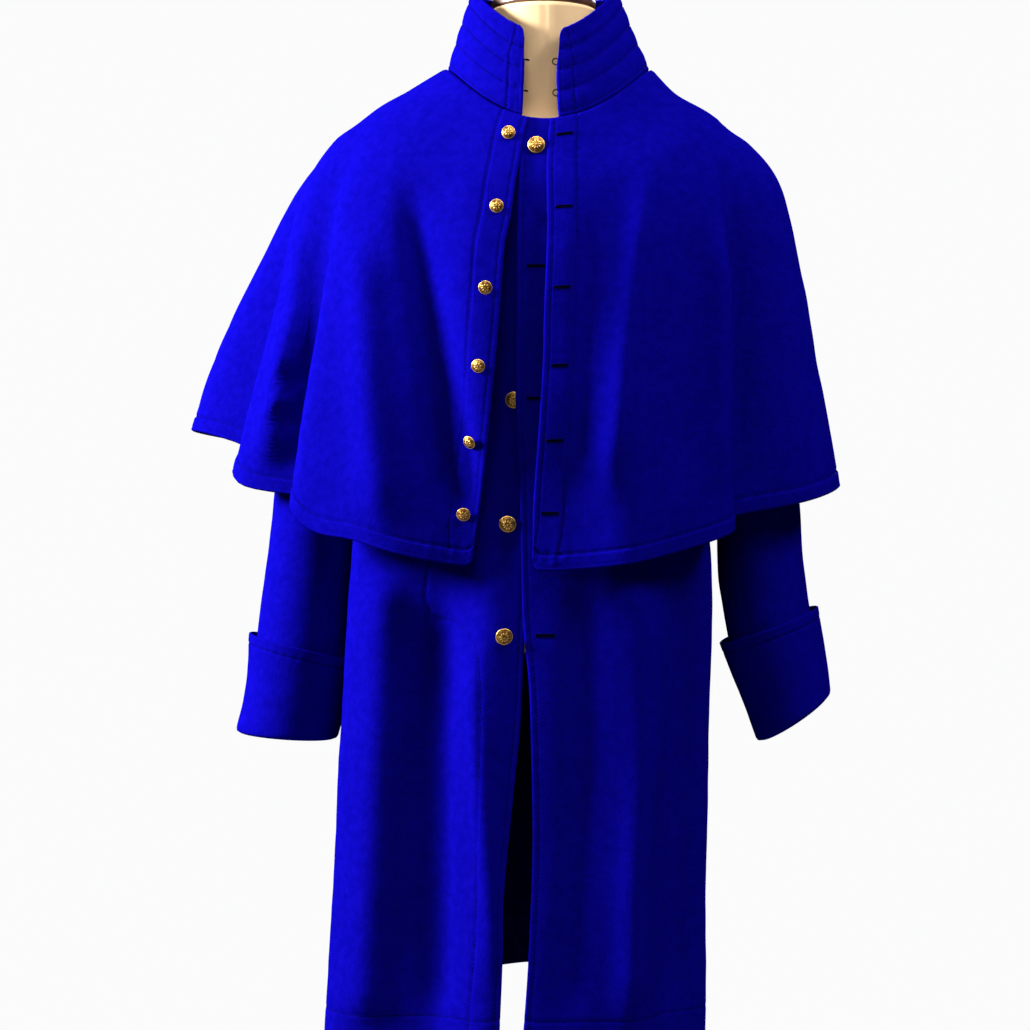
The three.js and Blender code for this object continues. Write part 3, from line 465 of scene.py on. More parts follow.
COAT_EDGE = {
    Side.LEFT: Edge((
        (392, -26), (490, -19), (617, -14), (708, -15), (804, -18), (880, -25), (1035, -29), (1107, -33),
        (1247, -33), (1343, -32), (1470, -27),
    )),
    Side.RIGHT: Edge((
        (392, -54), (491, -50), (560, -49), (696, -36), (756, -30), (829, -26), (990, -19), (1130, -12),
        (1280, 2), (1470, 17),
    )),
}
CAPE_EDGE = {
    Side.RIGHT: Edge((
        (937, -84), (1001, -77), (1059, -70), (1129, -63), (1224, -54), (1306, -48), (1342, -41), (1392, -34),
        (1438, -27), (1470, -20),
    )),
    Side.LEFT: Edge((
        (937, -15), (1012, -13), (1082, -8), (1176, -2), (1224, -1), (1325, 3), (1407, 3), (1470, 7),
    )),
}
COLLAR_EDGE = {
    Side.RIGHT: Edge(((0, -28), (50, -26), (100, -24))),
    Side.LEFT: Edge(((0, 18), (50, 16), (100, 18))),
}
SIDE_SEAM = Edge(((0, 106), (885, 102), (1056, 96), (1200, 92)))

COAT = Sheet(COAT_SECTIONS, COAT_FOLDS)
COAT_OVER = Sheet(COAT_SECTIONS, COAT_FOLDS, lift=lambda angle, at: lap_lift(angle, COAT.read("z_front", at)))
CAPE_OWN = Sheet(CAPE_SECTIONS, CAPE_FOLDS)
CAPE = Sheet(
    CAPE_SECTIONS,
    CAPE_FOLDS,
    lift=lambda angle, at: lap_lift(angle, CAPE_OWN.read("z_front", at)) * (1 - ease(330, 500, at)),
    over=COAT_OVER,
    along=lambda at: COAT_NECK - 3 - at,
    share=lambda at: 1 - ease(80, 165, at),
    stands=CLOTH + 1.6,
)
COLLAR = Sheet(COLLAR_SECTIONS)
FORM = Sheet(
    FORM_SECTIONS,
    over=COAT,
    along=lambda at: at + 500,
    share=lambda at: ease(535, 575, at) * (1 - ease(697, 722, at)),
    stands=-(CLOTH + 1.85),
)


CAPE_CREASES = {
    Side.RIGHT: (
        Crease(((-165, 1409), (-144, 1294), (-127, 1190), (-112, 1098), (-95, 983)), 18.0, -13.0, 0.2),
        Crease(((-223, 1351), (-209, 1259), (-202, 1144), (-193, 1052), (-181, 965)), 22.0, 13.0, 0.2),
        Crease(((-270, 1364), (-288, 1257), (-307, 1197), (-319, 1137), (-332, 1078),
                (-342, 1039)), 14.0, 18.0, 0.2, beyond=77.5),
        Crease(((-233, 1360), (-248, 1258), (-259, 1198), (-272, 1138), (-287, 1078),
                (-297, 1018)), 15.0, -6.0, 0.2, beyond=76.0),
        Crease(((-317, 1337), (-345, 1239), (-365, 1153), (-379, 1086)), 11.0, -11.0, 0.2, beyond=88.0),
    ),
    Side.LEFT: (
        Crease(((125, 1420), (106, 1316), (95, 1213), (83, 1109), (70, 994)), 17.0, 11.0, 0.25),
        Crease(((51, 1362), (47, 1247), (42, 1132), (33, 1017)), 16.0, -5.0, 0.25),
        Crease(((169, 1378), (169, 1250), (163, 1134), (152, 994)), 20.0, -6.0, 0.25),
        Crease(((200, 1356), (207, 1263), (207, 1134), (202, 1006)), 13.0, 8.0, 0.25),
        Crease(((210, 1432), (223, 1337), (228, 1254), (229, 1136), (229, 1018)), 8.0, -9.0, 0.15),
    ),
}
SKIRT_CREASES = {
    Side.RIGHT: (
        Crease(((-187, 948), (-190, 785), (-199, 610), (-211, 389)), 26.0, 15.0, 0.1),
        Crease(((-126, 914), (-124, 798), (-124, 672), (-128, 395)), 20.0, -8.0, 0.12),
        Crease(((-80, 879), (-82, 788), (-73, 673), (-64, 558), (-59, 443)), 13.0, 7.0, 0.2),
    ),
    Side.LEFT: (
        Crease(((44, 937), (44, 787), (40, 615), (26, 396)), 22.0, -7.0, 0.15),
        Crease(((116, 937), (121, 833), (116, 718), (102, 579), (97, 395)), 18.0, 13.0, 0.15),
        Crease(((163, 948), (163, 786), (159, 612), (149, 392)), 16.0, -8.0, 0.15),
    ),
}


def crease_relief(points: Array, creases: Sequence[Crease], front: bool = True) -> Array:
    """How far the listed creases move the cloth out.

    Args:
        points: the cloth's points.
        creases: troughs and ridges, placed as seen from the front.
        front: leaves out what lies behind the coat's middle.

    Returns:
        One distance for each point.
    """
    total = np.zeros(points.shape[:-1])
    x = points[..., 0]
    z = points[..., 2]
    round_ = np.abs(np.degrees(np.arctan2(x, -points[..., 1])))
    for c in creases:
        path = np.asarray(c.path, float)
        legs = np.linalg.norm(np.diff(path, axis=0), axis=1)
        start = np.concatenate([[0.0], np.cumsum(legs)])
        near = np.full(x.shape, 1e9)
        where = np.zeros(x.shape)
        for k, leg in enumerate(legs):
            way = (path[k + 1] - path[k]) / leg
            t = np.clip((x - path[k, 0]) * way[0] + (z - path[k, 1]) * way[1], 0, leg)
            d = np.hypot(x - path[k, 0] - t * way[0], z - path[k, 1] - t * way[1])
            closer = d < near
            near = np.where(closer, d, near)
            where = np.where(closer, (start[k] + t) / start[-1], where)
        shown = ease(0, c.fade, where) * (1 - ease(1 - c.fade, 1, where))
        if c.beyond:
            shown = shown * ease(c.beyond, c.beyond + 3.0, round_)
        total += c.out * shown * np.exp(-((near / c.wide) ** 2))
    if front:
        total *= 1 - ease(-30, 20, points[..., 1])
    return total


def coat_room(points: Array) -> Array:
    """How far the cape may go in before its inside meets the coat.

    Args:
        points: places on the cape's outer face.

    Returns:
        One distance for each point, never below zero.
    """
    angle = np.degrees(np.arctan2(points[..., 0], -points[..., 1]))
    at = np.interp(points[..., 2], [s.z_side for s in COAT_SECTIONS], [s.at for s in COAT_SECTIONS])
    under = COAT_OVER.point(angle, at)
    gap = np.hypot(points[..., 0], points[..., 1]) - np.hypot(under[..., 0], under[..., 1])
    return np.maximum(0.0, 0.9 * gap - CLOTH - 1.2)


def corner_cut(inward: Array, radius: float) -> Array:
    """How far a rounded corner cuts in at distances from the edge."""
    across = np.maximum(0, radius**2 - (radius - inward) ** 2)
    return np.where(inward < radius, radius - np.sqrt(across), 0)


def dip(distance: Array, at: float, wide: float) -> Array:
    """A smooth bump of height one, `at` a distance."""
    return np.exp(-(((distance - at) / wide) ** 2))


@dataclass
class Drape:
    """A grid of cloth points with its outward directions and distances from its four edges."""

    points: Array
    facing: Array
    first: Array = field(init=False)
    last: Array = field(init=False)
    low: Array = field(init=False)
    high: Array = field(init=False)

    def __post_init__(self) -> None:
        """Measures the distances along the rows and down the columns."""
        across = np.linalg.norm(np.diff(self.points, axis=1), axis=-1)
        zero = np.zeros((self.points.shape[0], 1))
        self.first = np.concatenate([zero, np.cumsum(across, axis=1)], axis=1)
        self.last = self.first[:, -1:] - self.first
        down = np.linalg.norm(np.diff(self.points, axis=0), axis=-1)
        zero = np.zeros((1, self.points.shape[1]))
        self.low = np.concatenate([zero, np.cumsum(down, axis=0)], axis=0)
        self.high = self.low[-1:, :] - self.low

    def moved(self, relief: Array) -> "Drape":
        """The grid moved out by a distance at each point."""
        return Drape(self.points + self.facing * relief[..., None], self.facing)

    def area(self) -> float:
        """The grid's area in square metres."""
        p = self.points
        a = np.cross(p[1:, 1:] - p[:-1, :-1], p[1:, :-1] - p[:-1, 1:])
        return float(np.linalg.norm(a, axis=-1).sum() / 2 * MM * MM)

    def line_down(self, distance: float, from_first: bool = True) -> tuple[Array, Array]:
        """The points and directions along a line at a distance from the first or last column."""
        table = self.first if from_first else self.last[:, ::-1]
        points = self.points if from_first else self.points[:, ::-1]
        facing = self.facing if from_first else self.facing[:, ::-1]
        return self._line(table, points, facing, distance)

    def line_across(self, distance: float, from_low: bool = True) -> tuple[Array, Array]:
        """The points and directions along a line at a distance from the first or last row."""
        table = self.low if from_low else self.high[::-1]
        points = self.points if from_low else self.points[::-1]
        facing = self.facing if from_low else self.facing[::-1]
        return self._line(table.T, np.swapaxes(points, 0, 1), np.swapaxes(facing, 0, 1), distance)

    @staticmethod
    def _line(table: Array, points: Array, facing: Array, distance: float) -> tuple[Array, Array]:
        """Reads each row of a grid where its table reaches a distance."""
        spots = np.empty((len(table), 3))
        ways = np.empty((len(table), 3))
        for i, row in enumerate(table):
            for k in range(3):
                spots[i, k] = np.interp(distance, row, points[i, :, k])
                ways[i, k] = np.interp(distance, row, facing[i, :, k])
        return spots, unit(ways)


def facing_of(points: Array, closed: bool, outward: Array) -> Array:
    """Directions across a grid of points.

    Args:
        points: the grid.
        closed: the last column meets the first.
        outward: rough outward directions, which settle the sign.

    Returns:
        A unit direction for each point.
    """
    if closed:
        wide = np.concatenate([points[:, -1:], points, points[:, :1]], axis=1)
        across = (wide[:, 2:] - wide[:, :-2]) / 2
    else:
        across = np.gradient(points, axis=1)
    down = np.gradient(points, axis=0)
    n = unit(np.cross(across, down))
    return np.where((n * outward).sum(-1, keepdims=True) < 0, -n, n)


@dataclass
class Built:
    """Mesh arrays: points in millimetres, faces, a slot for each face, and the wear at each point."""

    points: Array
    faces: list[list[int]]
    slots: Optional[list[int]] = None
    worn: Optional[Array] = None


def to_object(name: str, built: Built, materials: Sequence[bpy.types.Material]) -> bpy.types.Object:
    """Makes a smooth mesh object that rides on the part's body.

    Args:
        name: the piece's name.
        built: its mesh arrays.
        materials: its materials, in slot order.

    Returns:
        The object.
    """
    mesh = bpy.data.meshes.new(name)
    mesh.from_pydata((built.points * MM).tolist(), [], built.faces)
    for material in materials:
        mesh.materials.append(material)
    if built.slots is not None:
        mesh.polygons.foreach_set("material_index", built.slots)
    worn = built.worn if built.worn is not None else np.zeros(len(built.points))
    mesh.attributes.new("worn", "FLOAT", "POINT").data.foreach_set("value", worn.astype(np.float32))
    mesh.shade_smooth()
    mesh.validate()
    mesh.update()
    obj = bpy.data.objects.new(name, mesh)
    bpy.context.scene.collection.objects.link(obj)
    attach(obj, "root")
    log.info("%s: %d triangles", name, sum(len(f) - 2 for f in built.faces))
    return obj


def shell(outer: Array, inner: Array, facing: Array, closed: bool = False,
          worn: Optional[Array] = None) -> Built:
    """A closed shell between two grids, with a rounded rim along its free edges.

    Args:
        outer: the outer grid.
        inner: the inner grid.
        facing: the outward directions.
        closed: the last column meets the first.
        worn: wear at each outer point.

    Returns:
        The mesh arrays.
    """
    rows, cols = outer.shape[:2]
    count = rows * cols
    points = [outer.reshape(-1, 3), inner.reshape(-1, 3)]
    spans = cols if closed else cols - 1
    i = np.arange(rows - 1)[:, None]
    j = np.arange(spans)[None, :]
    a = i * cols + j
    b = i * cols + (j + 1) % cols
    c = b + cols
    d = a + cols
    quads = np.stack([a, b, c, d], -1).reshape(-1, 4)
    across = outer[rows // 2, (cols // 2 + 1) % cols] - outer[rows // 2, cols // 2]
    down = outer[rows // 2 + 1, cols // 2] - outer[rows // 2, cols // 2]
    straight = float(np.dot(np.cross(across, down), facing[rows // 2, cols // 2])) > 0
    outside = quads if straight else quads[:, ::-1]
    inside = (quads[:, ::-1] if straight else quads) + count
    faces = outside.tolist() + inside.tolist()
    # Inner faces take the second slot, the wool darkened as painted shade.
    slots = [Layer.OUTSIDE.value] * len(outside) + [Layer.INSIDE.value] * len(inside)

    top = [(0, k) for k in range(cols)]
    base = [(rows - 1, k) for k in range(cols)]
    if closed:
        loops = [(top, [(1, k) for k in range(cols)]), (base, [(rows - 2, k) for k in range(cols)])]
    else:
        ring = top + [(k, cols - 1) for k in range(1, rows)]
        ring += [(rows - 1, k) for k in range(cols - 2, -1, -1)] + [(k, 0) for k in range(rows - 2, 0, -1)]
        inward = [(min(max(p, 1), rows - 2), min(max(q, 1), cols - 2)) for p, q in ring]
        loops = [(ring, inward)]
    start = 2 * count
    wear = [worn.reshape(-1) if worn is not None else np.zeros(count), np.zeros(count)]
    for ring, inward in loops:
        r = np.array(ring)
        n = np.array(inward)
        out = outer[r[:, 0], r[:, 1]]
        under = inner[r[:, 0], r[:, 1]]
        away = unit(out - outer[n[:, 0], n[:, 1]])
        thick = np.linalg.norm(out - under, axis=-1, keepdims=True)
        points.append((out + under) / 2 + away * thick * RIM_BULGE)
        wear.append(np.full(len(r), 0.9))
        first = r[:, 0] * cols + r[:, 1]
        size = len(r)
        for k in range(size):
            m = (k + 1) % size
            for quad in ([first[k], first[m], start + m, start + k],
                         [start + k, start + m, first[m] + count, first[k] + count]):
                faces.append([int(v) for v in quad])
                slots.append(Layer.OUTSIDE.value)
        start += size
    built = Built(np.concatenate(points), faces, slots, np.concatenate(wear))
    return with_even_rim(built, len(outside) + len(inside))


def with_even_rim(built: Built, first_rim: int) -> Built:
    """Turns rim faces round where they run against the face beside them."""
    edges: set[tuple[int, int]] = set()
    for f in built.faces[:first_rim]:
        for k in range(4):
            edges.add((f[k], f[(k + 1) % 4]))
    for k in range(first_rim, len(built.faces), 2):
        f = built.faces[k]
        if (f[0], f[1]) in edges:
            built.faces[k] = f[::-1]
            built.faces[k + 1] = built.faces[k + 1][::-1]
    return built


def join(parts: Sequence[Built]) -> Built:
    """Joins several mesh arrays in one."""
    points = []
    faces: list[list[int]] = []
    slots: list[int] = []
    worn = []
    shift = 0
    for p in parts:
        points.append(p.points)
        faces.extend([[v + shift for v in f] for f in p.faces])
        slots.extend(p.slots if p.slots is not None else [0] * len(p.faces))
        worn.append(p.worn if p.worn is not None else np.zeros(len(p.points)))
        shift += len(p.points)
    return Built(np.concatenate(points), faces, slots, np.concatenate(worn))


def bands(rows: int, cols: int) -> list[list[int]]:
    """Quads between the rows of a grid whose last column meets its first."""
    faces = []
    for i in range(rows - 1):
        for j in range(cols):
            a, b = i * cols + j, i * cols + (j + 1) % cols
            faces.append([a, b, b + cols, a + cols])
    return faces


def caps(rows: int, cols: int) -> list[list[int]]:
    """Triangles that close such a grid's ends on the two points that follow it."""
    faces = []
    for j in range(cols):
        k = (j + 1) % cols
        faces.append([rows * cols, k, j])
        faces.append([rows * cols + 1, (rows - 1) * cols + j, (rows - 1) * cols + k])
    return faces


def tube(path: Array, radius: Array, sides: int = 8, closed: bool = False) -> Built:
    """A round tube along a path, with rounded or closed ends.

    Args:
        path: points along the tube.
        radius: the radius at each point.
        sides: corners of its section.
        closed: the path is a loop.

    Returns:
        The mesh arrays.
    """
    if closed:
        way = unit(np.roll(path, -1, axis=0) - np.roll(path, 1, axis=0))
    else:
        way = unit(np.gradient(path, axis=0))
    guide = np.array([0.31, 0.17, 0.94])
    side = unit(np.cross(way, guide))
    up = unit(np.cross(side, way))
    turns = np.arange(sides) * 2 * math.pi / sides
    ring = side[:, None] * np.cos(turns)[None, :, None] + up[:, None] * np.sin(turns)[None, :, None]
    points = path[:, None] + ring * np.asarray(radius, float).reshape(-1, 1, 1)
    n = len(path)
    spans = n if closed else n - 1
    faces = []
    for i in range(spans):
        for j in range(sides):
            a, b = i * sides + j, i * sides + (j + 1) % sides
            c, d = ((i + 1) % n) * sides + (j + 1) % sides, ((i + 1) % n) * sides + j
            faces.append([a, d, c, b])
    flat = points.reshape(-1, 3)
    if not closed:
        flat = np.concatenate([flat, path[:1], path[-1:]])
        for j in range(sides):
            faces.append([n * sides, j, (j + 1) % sides])
            faces.append([n * sides + 1, (n - 1) * sides + (j + 1) % sides, (n - 1) * sides + j])
    return Built(flat, faces)


def stitches(spots: Array, ways: Array, start: float, end: float) -> list[Built]:
    """Sewing-thread stitches along a line on the cloth.

    Args:
        spots: points of the line.
        ways: outward directions at the points.
        start: how far from the line's start the first stitch lies.
        end: how far from its end the last lies.

    Returns:
        Mesh arrays, joined by the caller.
    """
    legs = np.linalg.norm(np.diff(spots, axis=0), axis=1)
    along = np.concatenate([[0.0], np.cumsum(legs)])
    if along[-1] < start + end + STITCH_PITCH:
        return []
    middles = np.arange(start + STITCH_PITCH / 2, along[-1] - end, STITCH_PITCH)
    half = STITCH_LONG / 2
    rings = np.array([-1.0, -0.65, 0.65, 1.0])
    fat = np.array([0.3, 1.0, 1.0, 0.3]) * STITCH_THICK
    rise = np.array([-0.45, 0.08, 0.08, -0.45])
    sides = 5
    turns = np.arange(sides) * 2 * math.pi / sides

    def read(values: Array, at: Array) -> Array:
        """Reads points or directions along the line."""
        return np.stack([np.interp(at, along, values[:, k]) for k in range(3)], -1)

    at = middles[:, None] + rings[None, :] * half
    centre = read(spots, at.reshape(-1)).reshape(len(middles), len(rings), 3)
    up = unit(read(ways, at.reshape(-1))).reshape(centre.shape)
    way = unit(centre[:, -1] - centre[:, 0])[:, None, :].repeat(len(rings), axis=1)
    side = unit(np.cross(way, up))
    centre = centre + up * (rise[None, :, None] + 0.12)
    ring = side[:, :, None] * np.cos(turns)[None, None, :, None]
    ring = ring + up[:, :, None] * np.sin(turns)[None, None, :, None]
    points = centre[:, :, None] + ring * fat[None, :, None, None]
    one = bands(len(rings), sides)
    one.append([j for j in range(sides - 1, -1, -1)])
    one.append([(len(rings) - 1) * sides + j for j in range(sides)])
    size = len(rings) * sides
    faces = [[v + k * size for v in f] for k in range(len(middles)) for f in one]
    return [Built(points.reshape(-1, 3), faces)]


def buttonhole(centre: Array, way: Array, up: Array, long: float) -> Built:
    """A worked buttonhole: a near-black strip in the slit as painted shade, with thread wound round its edge
    and a bar at one end.

    Args:
        centre: its middle on the cloth.
        way: along the slit.
        up: out of the cloth.
        long: the slit's length.

    Returns:
        Mesh arrays with the thread in slot 0 and the slit's painted shade in slot 1.
    """
    side = unit(np.cross(up, way))
    turns = np.linspace(0, 2 * math.pi, 96, endpoint=False)
    reach = np.sign(np.cos(turns)) * np.abs(np.cos(turns)) ** 0.35 * (long / 2)
    width = np.sign(np.sin(turns)) * np.abs(np.sin(turns)) ** 0.6 * 1.15
    path = centre + reach[:, None] * way + width[:, None] * side + up * 0.45
    radius = 0.62 + 0.14 * np.sin(np.arange(96) * math.pi / 1.5)
    thread = tube(path, radius, 6, closed=True)
    bar = tube(centre + np.linspace(-1.9, 1.9, 9)[:, None] * side - way * (long / 2 + 0.5) + up * 0.55,
               np.full(9, 0.7), 6)
    # A dark tube along the cut: painted shade inside the slit.
    along = np.linspace(-long / 2 + 1, long / 2 - 1, 12)
    slit = tube(centre + along[:, None] * way + up * 0.1, np.full(12, 0.5), 6)
    slit.slots = [1] * len(slit.faces)
    return join([thread, bar, slit])


def revolve(profile: Sequence[tuple[float, float]], sides: int,
            relief: Optional[Callable[[Array, Array], Array]] = None) -> Built:
    """A turned piece on the Z axis.

    Args:
        profile: radius and height pairs from one end of the axis to the other.
        sides: segments round the axis.
        relief: adds height from the radius and the turn, in radians.

    Returns:
        The mesh arrays.
    """
    turns = np.arange(sides) * 2 * math.pi / sides
    pairs = np.asarray(profile, float)
    inner = pairs[1:-1]
    r = inner[:, 0][:, None] * np.ones(sides)
    h = inner[:, 1][:, None] * np.ones(sides)
    raised = relief(r, turns[None, :] * np.ones_like(r)) if relief is not None else np.zeros_like(r)
    points = np.stack([r * np.cos(turns), r * np.sin(turns), h + raised], -1).reshape(-1, 3)
    n = len(inner)
    faces = bands(n, sides) + caps(n, sides)
    ends = np.array([[0, 0, pairs[0, 1]], [0, 0, pairs[-1, 1]]])
    worn = np.concatenate([np.clip(raised.reshape(-1) * 2.2, 0, 1), [0, 0.6]])
    return Built(np.concatenate([points, ends]), faces, None, worn)


def rounded(pairs: Sequence[tuple[float, float]], bend: float, steps: int = 4) -> list[tuple[float, float]]:
    """Rounds the corners of a profile by a small radius."""
    p = np.asarray(pairs, float)
    out = [tuple(p[0])]
    for k in range(1, len(p) - 1):
        before, after = p[k - 1] - p[k], p[k + 1] - p[k]
        size = min(bend, np.linalg.norm(before) * 0.45, np.linalg.norm(after) * 0.45)
        a = p[k] + unit(before) * size
        b = p[k] + unit(after) * size
        for t in np.linspace(0, 1, steps):
            out.append(tuple((1 - t) ** 2 * a + 2 * t * (1 - t) * p[k] + t * t * b))
    out.append(tuple(p[-1]))
    return out


def placed(built: Built, at: Array, facing: Array) -> Built:
    """Turns a piece from +Z to a direction and moves it to a place."""
    turn = np.array(Vector((0, 0, 1)).rotation_difference(Vector(facing)).to_matrix())
    return Built(built.points @ turn.T + at, built.faces, built.slots, built.worn)


class Graph:
    """Adds nodes to a node tree and joins them."""

    def __init__(self, tree: bpy.types.NodeTree) -> None:
        """Takes the tree to fill."""
        self.tree = tree

    def add(self, kind: str, **settings: object) -> bpy.types.Node:
        """Adds a node and sets its attributes, or its inputs where a name isn't an attribute."""
        node = self.tree.nodes.new(kind)
        for name, value in settings.items():
            if hasattr(node, name):
                setattr(node, name, value)
            else:
                node.inputs[name.replace("_", " ").title()].default_value = value
        return node

    def join(self, a: bpy.types.NodeSocket, b: bpy.types.NodeSocket) -> None:
        """Joins an output to an input."""
        self.tree.links.new(a, b)

    def math(self, operation: str, a: object, b: object = 0.0) -> bpy.types.NodeSocket:
        """A Math node over sockets or numbers."""
        node = self.add("ShaderNodeMath", operation=operation)
        for k, value in enumerate((a, b)):
            if isinstance(value, bpy.types.NodeSocket):
                self.join(value, node.inputs[k])
            else:
                node.inputs[k].default_value = value
        return node.outputs[0]

    def mix(self, factor: object, a: object, b: object) -> bpy.types.NodeSocket:
        """Mixes two colours."""
        node = self.add("ShaderNodeMix", data_type="RGBA")
        for key, value in ((0, factor), (6, a), (7, b)):
            if isinstance(value, bpy.types.NodeSocket):
                self.join(value, node.inputs[key])
            else:
                node.inputs[key].default_value = value if key == 0 else (*value, 1.0)
        return node.outputs[2]

    def noise(self, coordinates: bpy.types.NodeSocket, scale: float, detail: float = 4.0,
              stretch: Optional[Colour] = None) -> bpy.types.NodeSocket:
        """A noise value over coordinates, stretched if asked."""
        if stretch is not None:
            mapping = self.add("ShaderNodeMapping")
            mapping.inputs["Scale"].default_value = stretch
            self.join(coordinates, mapping.inputs["Vector"])
            coordinates = mapping.outputs["Vector"]
        node = self.add("ShaderNodeTexNoise")
        node.inputs["Scale"].default_value = scale
        node.inputs["Detail"].default_value = detail
        self.join(coordinates, node.inputs["Vector"])
        return node.outputs[0]

    def ramp(self, value: bpy.types.NodeSocket, low: float, high: float) -> bpy.types.NodeSocket:
        """Stretches values from between two limits to between 0 and 1."""
        node = self.add("ShaderNodeMapRange", interpolation_type="SMOOTHSTEP")
        self.join(value, node.inputs["Value"])
        node.inputs["From Min"].default_value = low
        node.inputs["From Max"].default_value = high
        return node.outputs[0]


def new_group(name: str, inputs: Sequence[tuple[str, float]], outputs: Sequence[str]) -> tuple[
        bpy.types.NodeTree, Graph, bpy.types.Node, bpy.types.Node]:
    """Starts a shader node group with number inputs and outputs."""
    tree = bpy.data.node_groups.new(name, "ShaderNodeTree")
    for label, value in inputs:
        socket = tree.interface.new_socket(name=label, in_out="INPUT", socket_type="NodeSocketFloat")
        socket.default_value = value
    for label in outputs:
        tree.interface.new_socket(name=label, in_out="OUTPUT", socket_type="NodeSocketFloat")
    graph = Graph(tree)
    return tree, graph, graph.add("NodeGroupInput"), graph.add("NodeGroupOutput")


class Effects:
    """The shader node groups that the materials share."""

    def __init__(self) -> None:
        """Builds each group once."""
        self.nap = self._nap()
        self.weave = self._weave()
        self.wear = self._wear()

    @staticmethod
    def _nap() -> bpy.types.NodeTree:
        """Fulled wool: matted fibres for the bump, soft mottling, and pale loose fibres."""
        tree, g, given, made = new_group(
            "nap", (("Fibre Scale", 900.0), ("Mottle Scale", 26.0)), ("Height", "Mottle", "Lint"))
        place = g.add("ShaderNodeTexCoord").outputs["Object"]
        heights = []
        for stretch in ((1.0, 1.0, 0.3), (0.35, 0.6, 1.0)):
            mapping = g.add("ShaderNodeMapping")
            mapping.inputs["Scale"].default_value = stretch
            g.join(place, mapping.inputs["Vector"])
            node = g.add("ShaderNodeTexNoise")
            node.inputs["Detail"].default_value = 5.0
            node.inputs["Roughness"].default_value = 0.62
            g.join(mapping.outputs["Vector"], node.inputs["Vector"])
            g.join(given.outputs["Fibre Scale"], node.inputs["Scale"])
            heights.append(node.outputs[0])
        tuft = g.noise(place, 170.0, 3.0)
        total = g.math("ADD", g.math("ADD", heights[0], heights[1]), g.math("MULTIPLY", tuft, 0.9))
        g.join(g.math("MULTIPLY", total, 0.34), made.inputs["Height"])
        mottle = g.add("ShaderNodeTexNoise")
        mottle.inputs["Detail"].default_value = 6.0
        mottle.inputs["Roughness"].default_value = 0.6
        g.join(place, mottle.inputs["Vector"])
        g.join(given.outputs["Mottle Scale"], mottle.inputs["Scale"])
        g.join(g.ramp(mottle.outputs[0], 0.3, 0.7), made.inputs["Mottle"])
        lint = g.noise(place, 520.0, 2.0, (1.0, 0.5, 0.22))
        g.join(g.ramp(lint, 0.68, 0.82), made.inputs["Lint"])
        return tree

    @staticmethod
    def _weave() -> bpy.types.NodeTree:
        """Plain weave: two sets of threads that cross, for the bump and for the gaps between them."""
        tree, g, given, made = new_group("weave", (("Threads", 5200.0), ("Slub", 0.5)), ("Height", "Gaps"))
        place = g.add("ShaderNodeTexCoord").outputs["Object"]
        split = g.add("ShaderNodeSeparateXYZ")
        g.join(place, split.inputs[0])
        turn = g.math("ARCTAN2", split.outputs[0], split.outputs[1])
        across = g.math("SINE", g.math("MULTIPLY", g.math("MULTIPLY", turn, 0.16), given.outputs["Threads"]))
        along = g.math("SINE", g.math("MULTIPLY", split.outputs[2], given.outputs["Threads"]))
        cross = g.math("MULTIPLY", across, along)
        slub = g.noise(place, 90.0, 4.0, (1.0, 1.0, 0.2))
        g.join(g.math("ADD", g.math("MULTIPLY", cross, 0.5), g.math("MULTIPLY", slub, given.outputs["Slub"])),
               made.inputs["Height"])
        g.join(g.ramp(cross, -1.0, 1.0), made.inputs["Gaps"])
        return tree

    @staticmethod
    def _wear() -> bpy.types.NodeTree:
        """Wear: where edges and raised places rub bright, broken up by grime."""
        tree, g, given, made = new_group("wear", (("Grime Scale", 240.0), ("Rub", 1.0)), ("Rubbed", "Grime"))
        place = g.add("ShaderNodeTexCoord").outputs["Object"]
        mark = g.add("ShaderNodeAttribute", attribute_name="worn").outputs["Fac"]
        grime = g.add("ShaderNodeTexNoise")
        grime.inputs["Detail"].default_value = 7.0
        g.join(place, grime.inputs["Vector"])
        g.join(given.outputs["Grime Scale"], grime.inputs["Scale"])
        rubbed = g.math("MULTIPLY", mark, given.outputs["Rub"])
        broken = g.math("ADD", rubbed, g.math("SUBTRACT", grime.outputs[0], 0.5))
        g.join(g.ramp(broken, 0.1, 0.9), made.inputs["Rubbed"])
        g.join(g.ramp(grime.outputs[0], 0.38, 0.68), made.inputs["Grime"])
        return tree


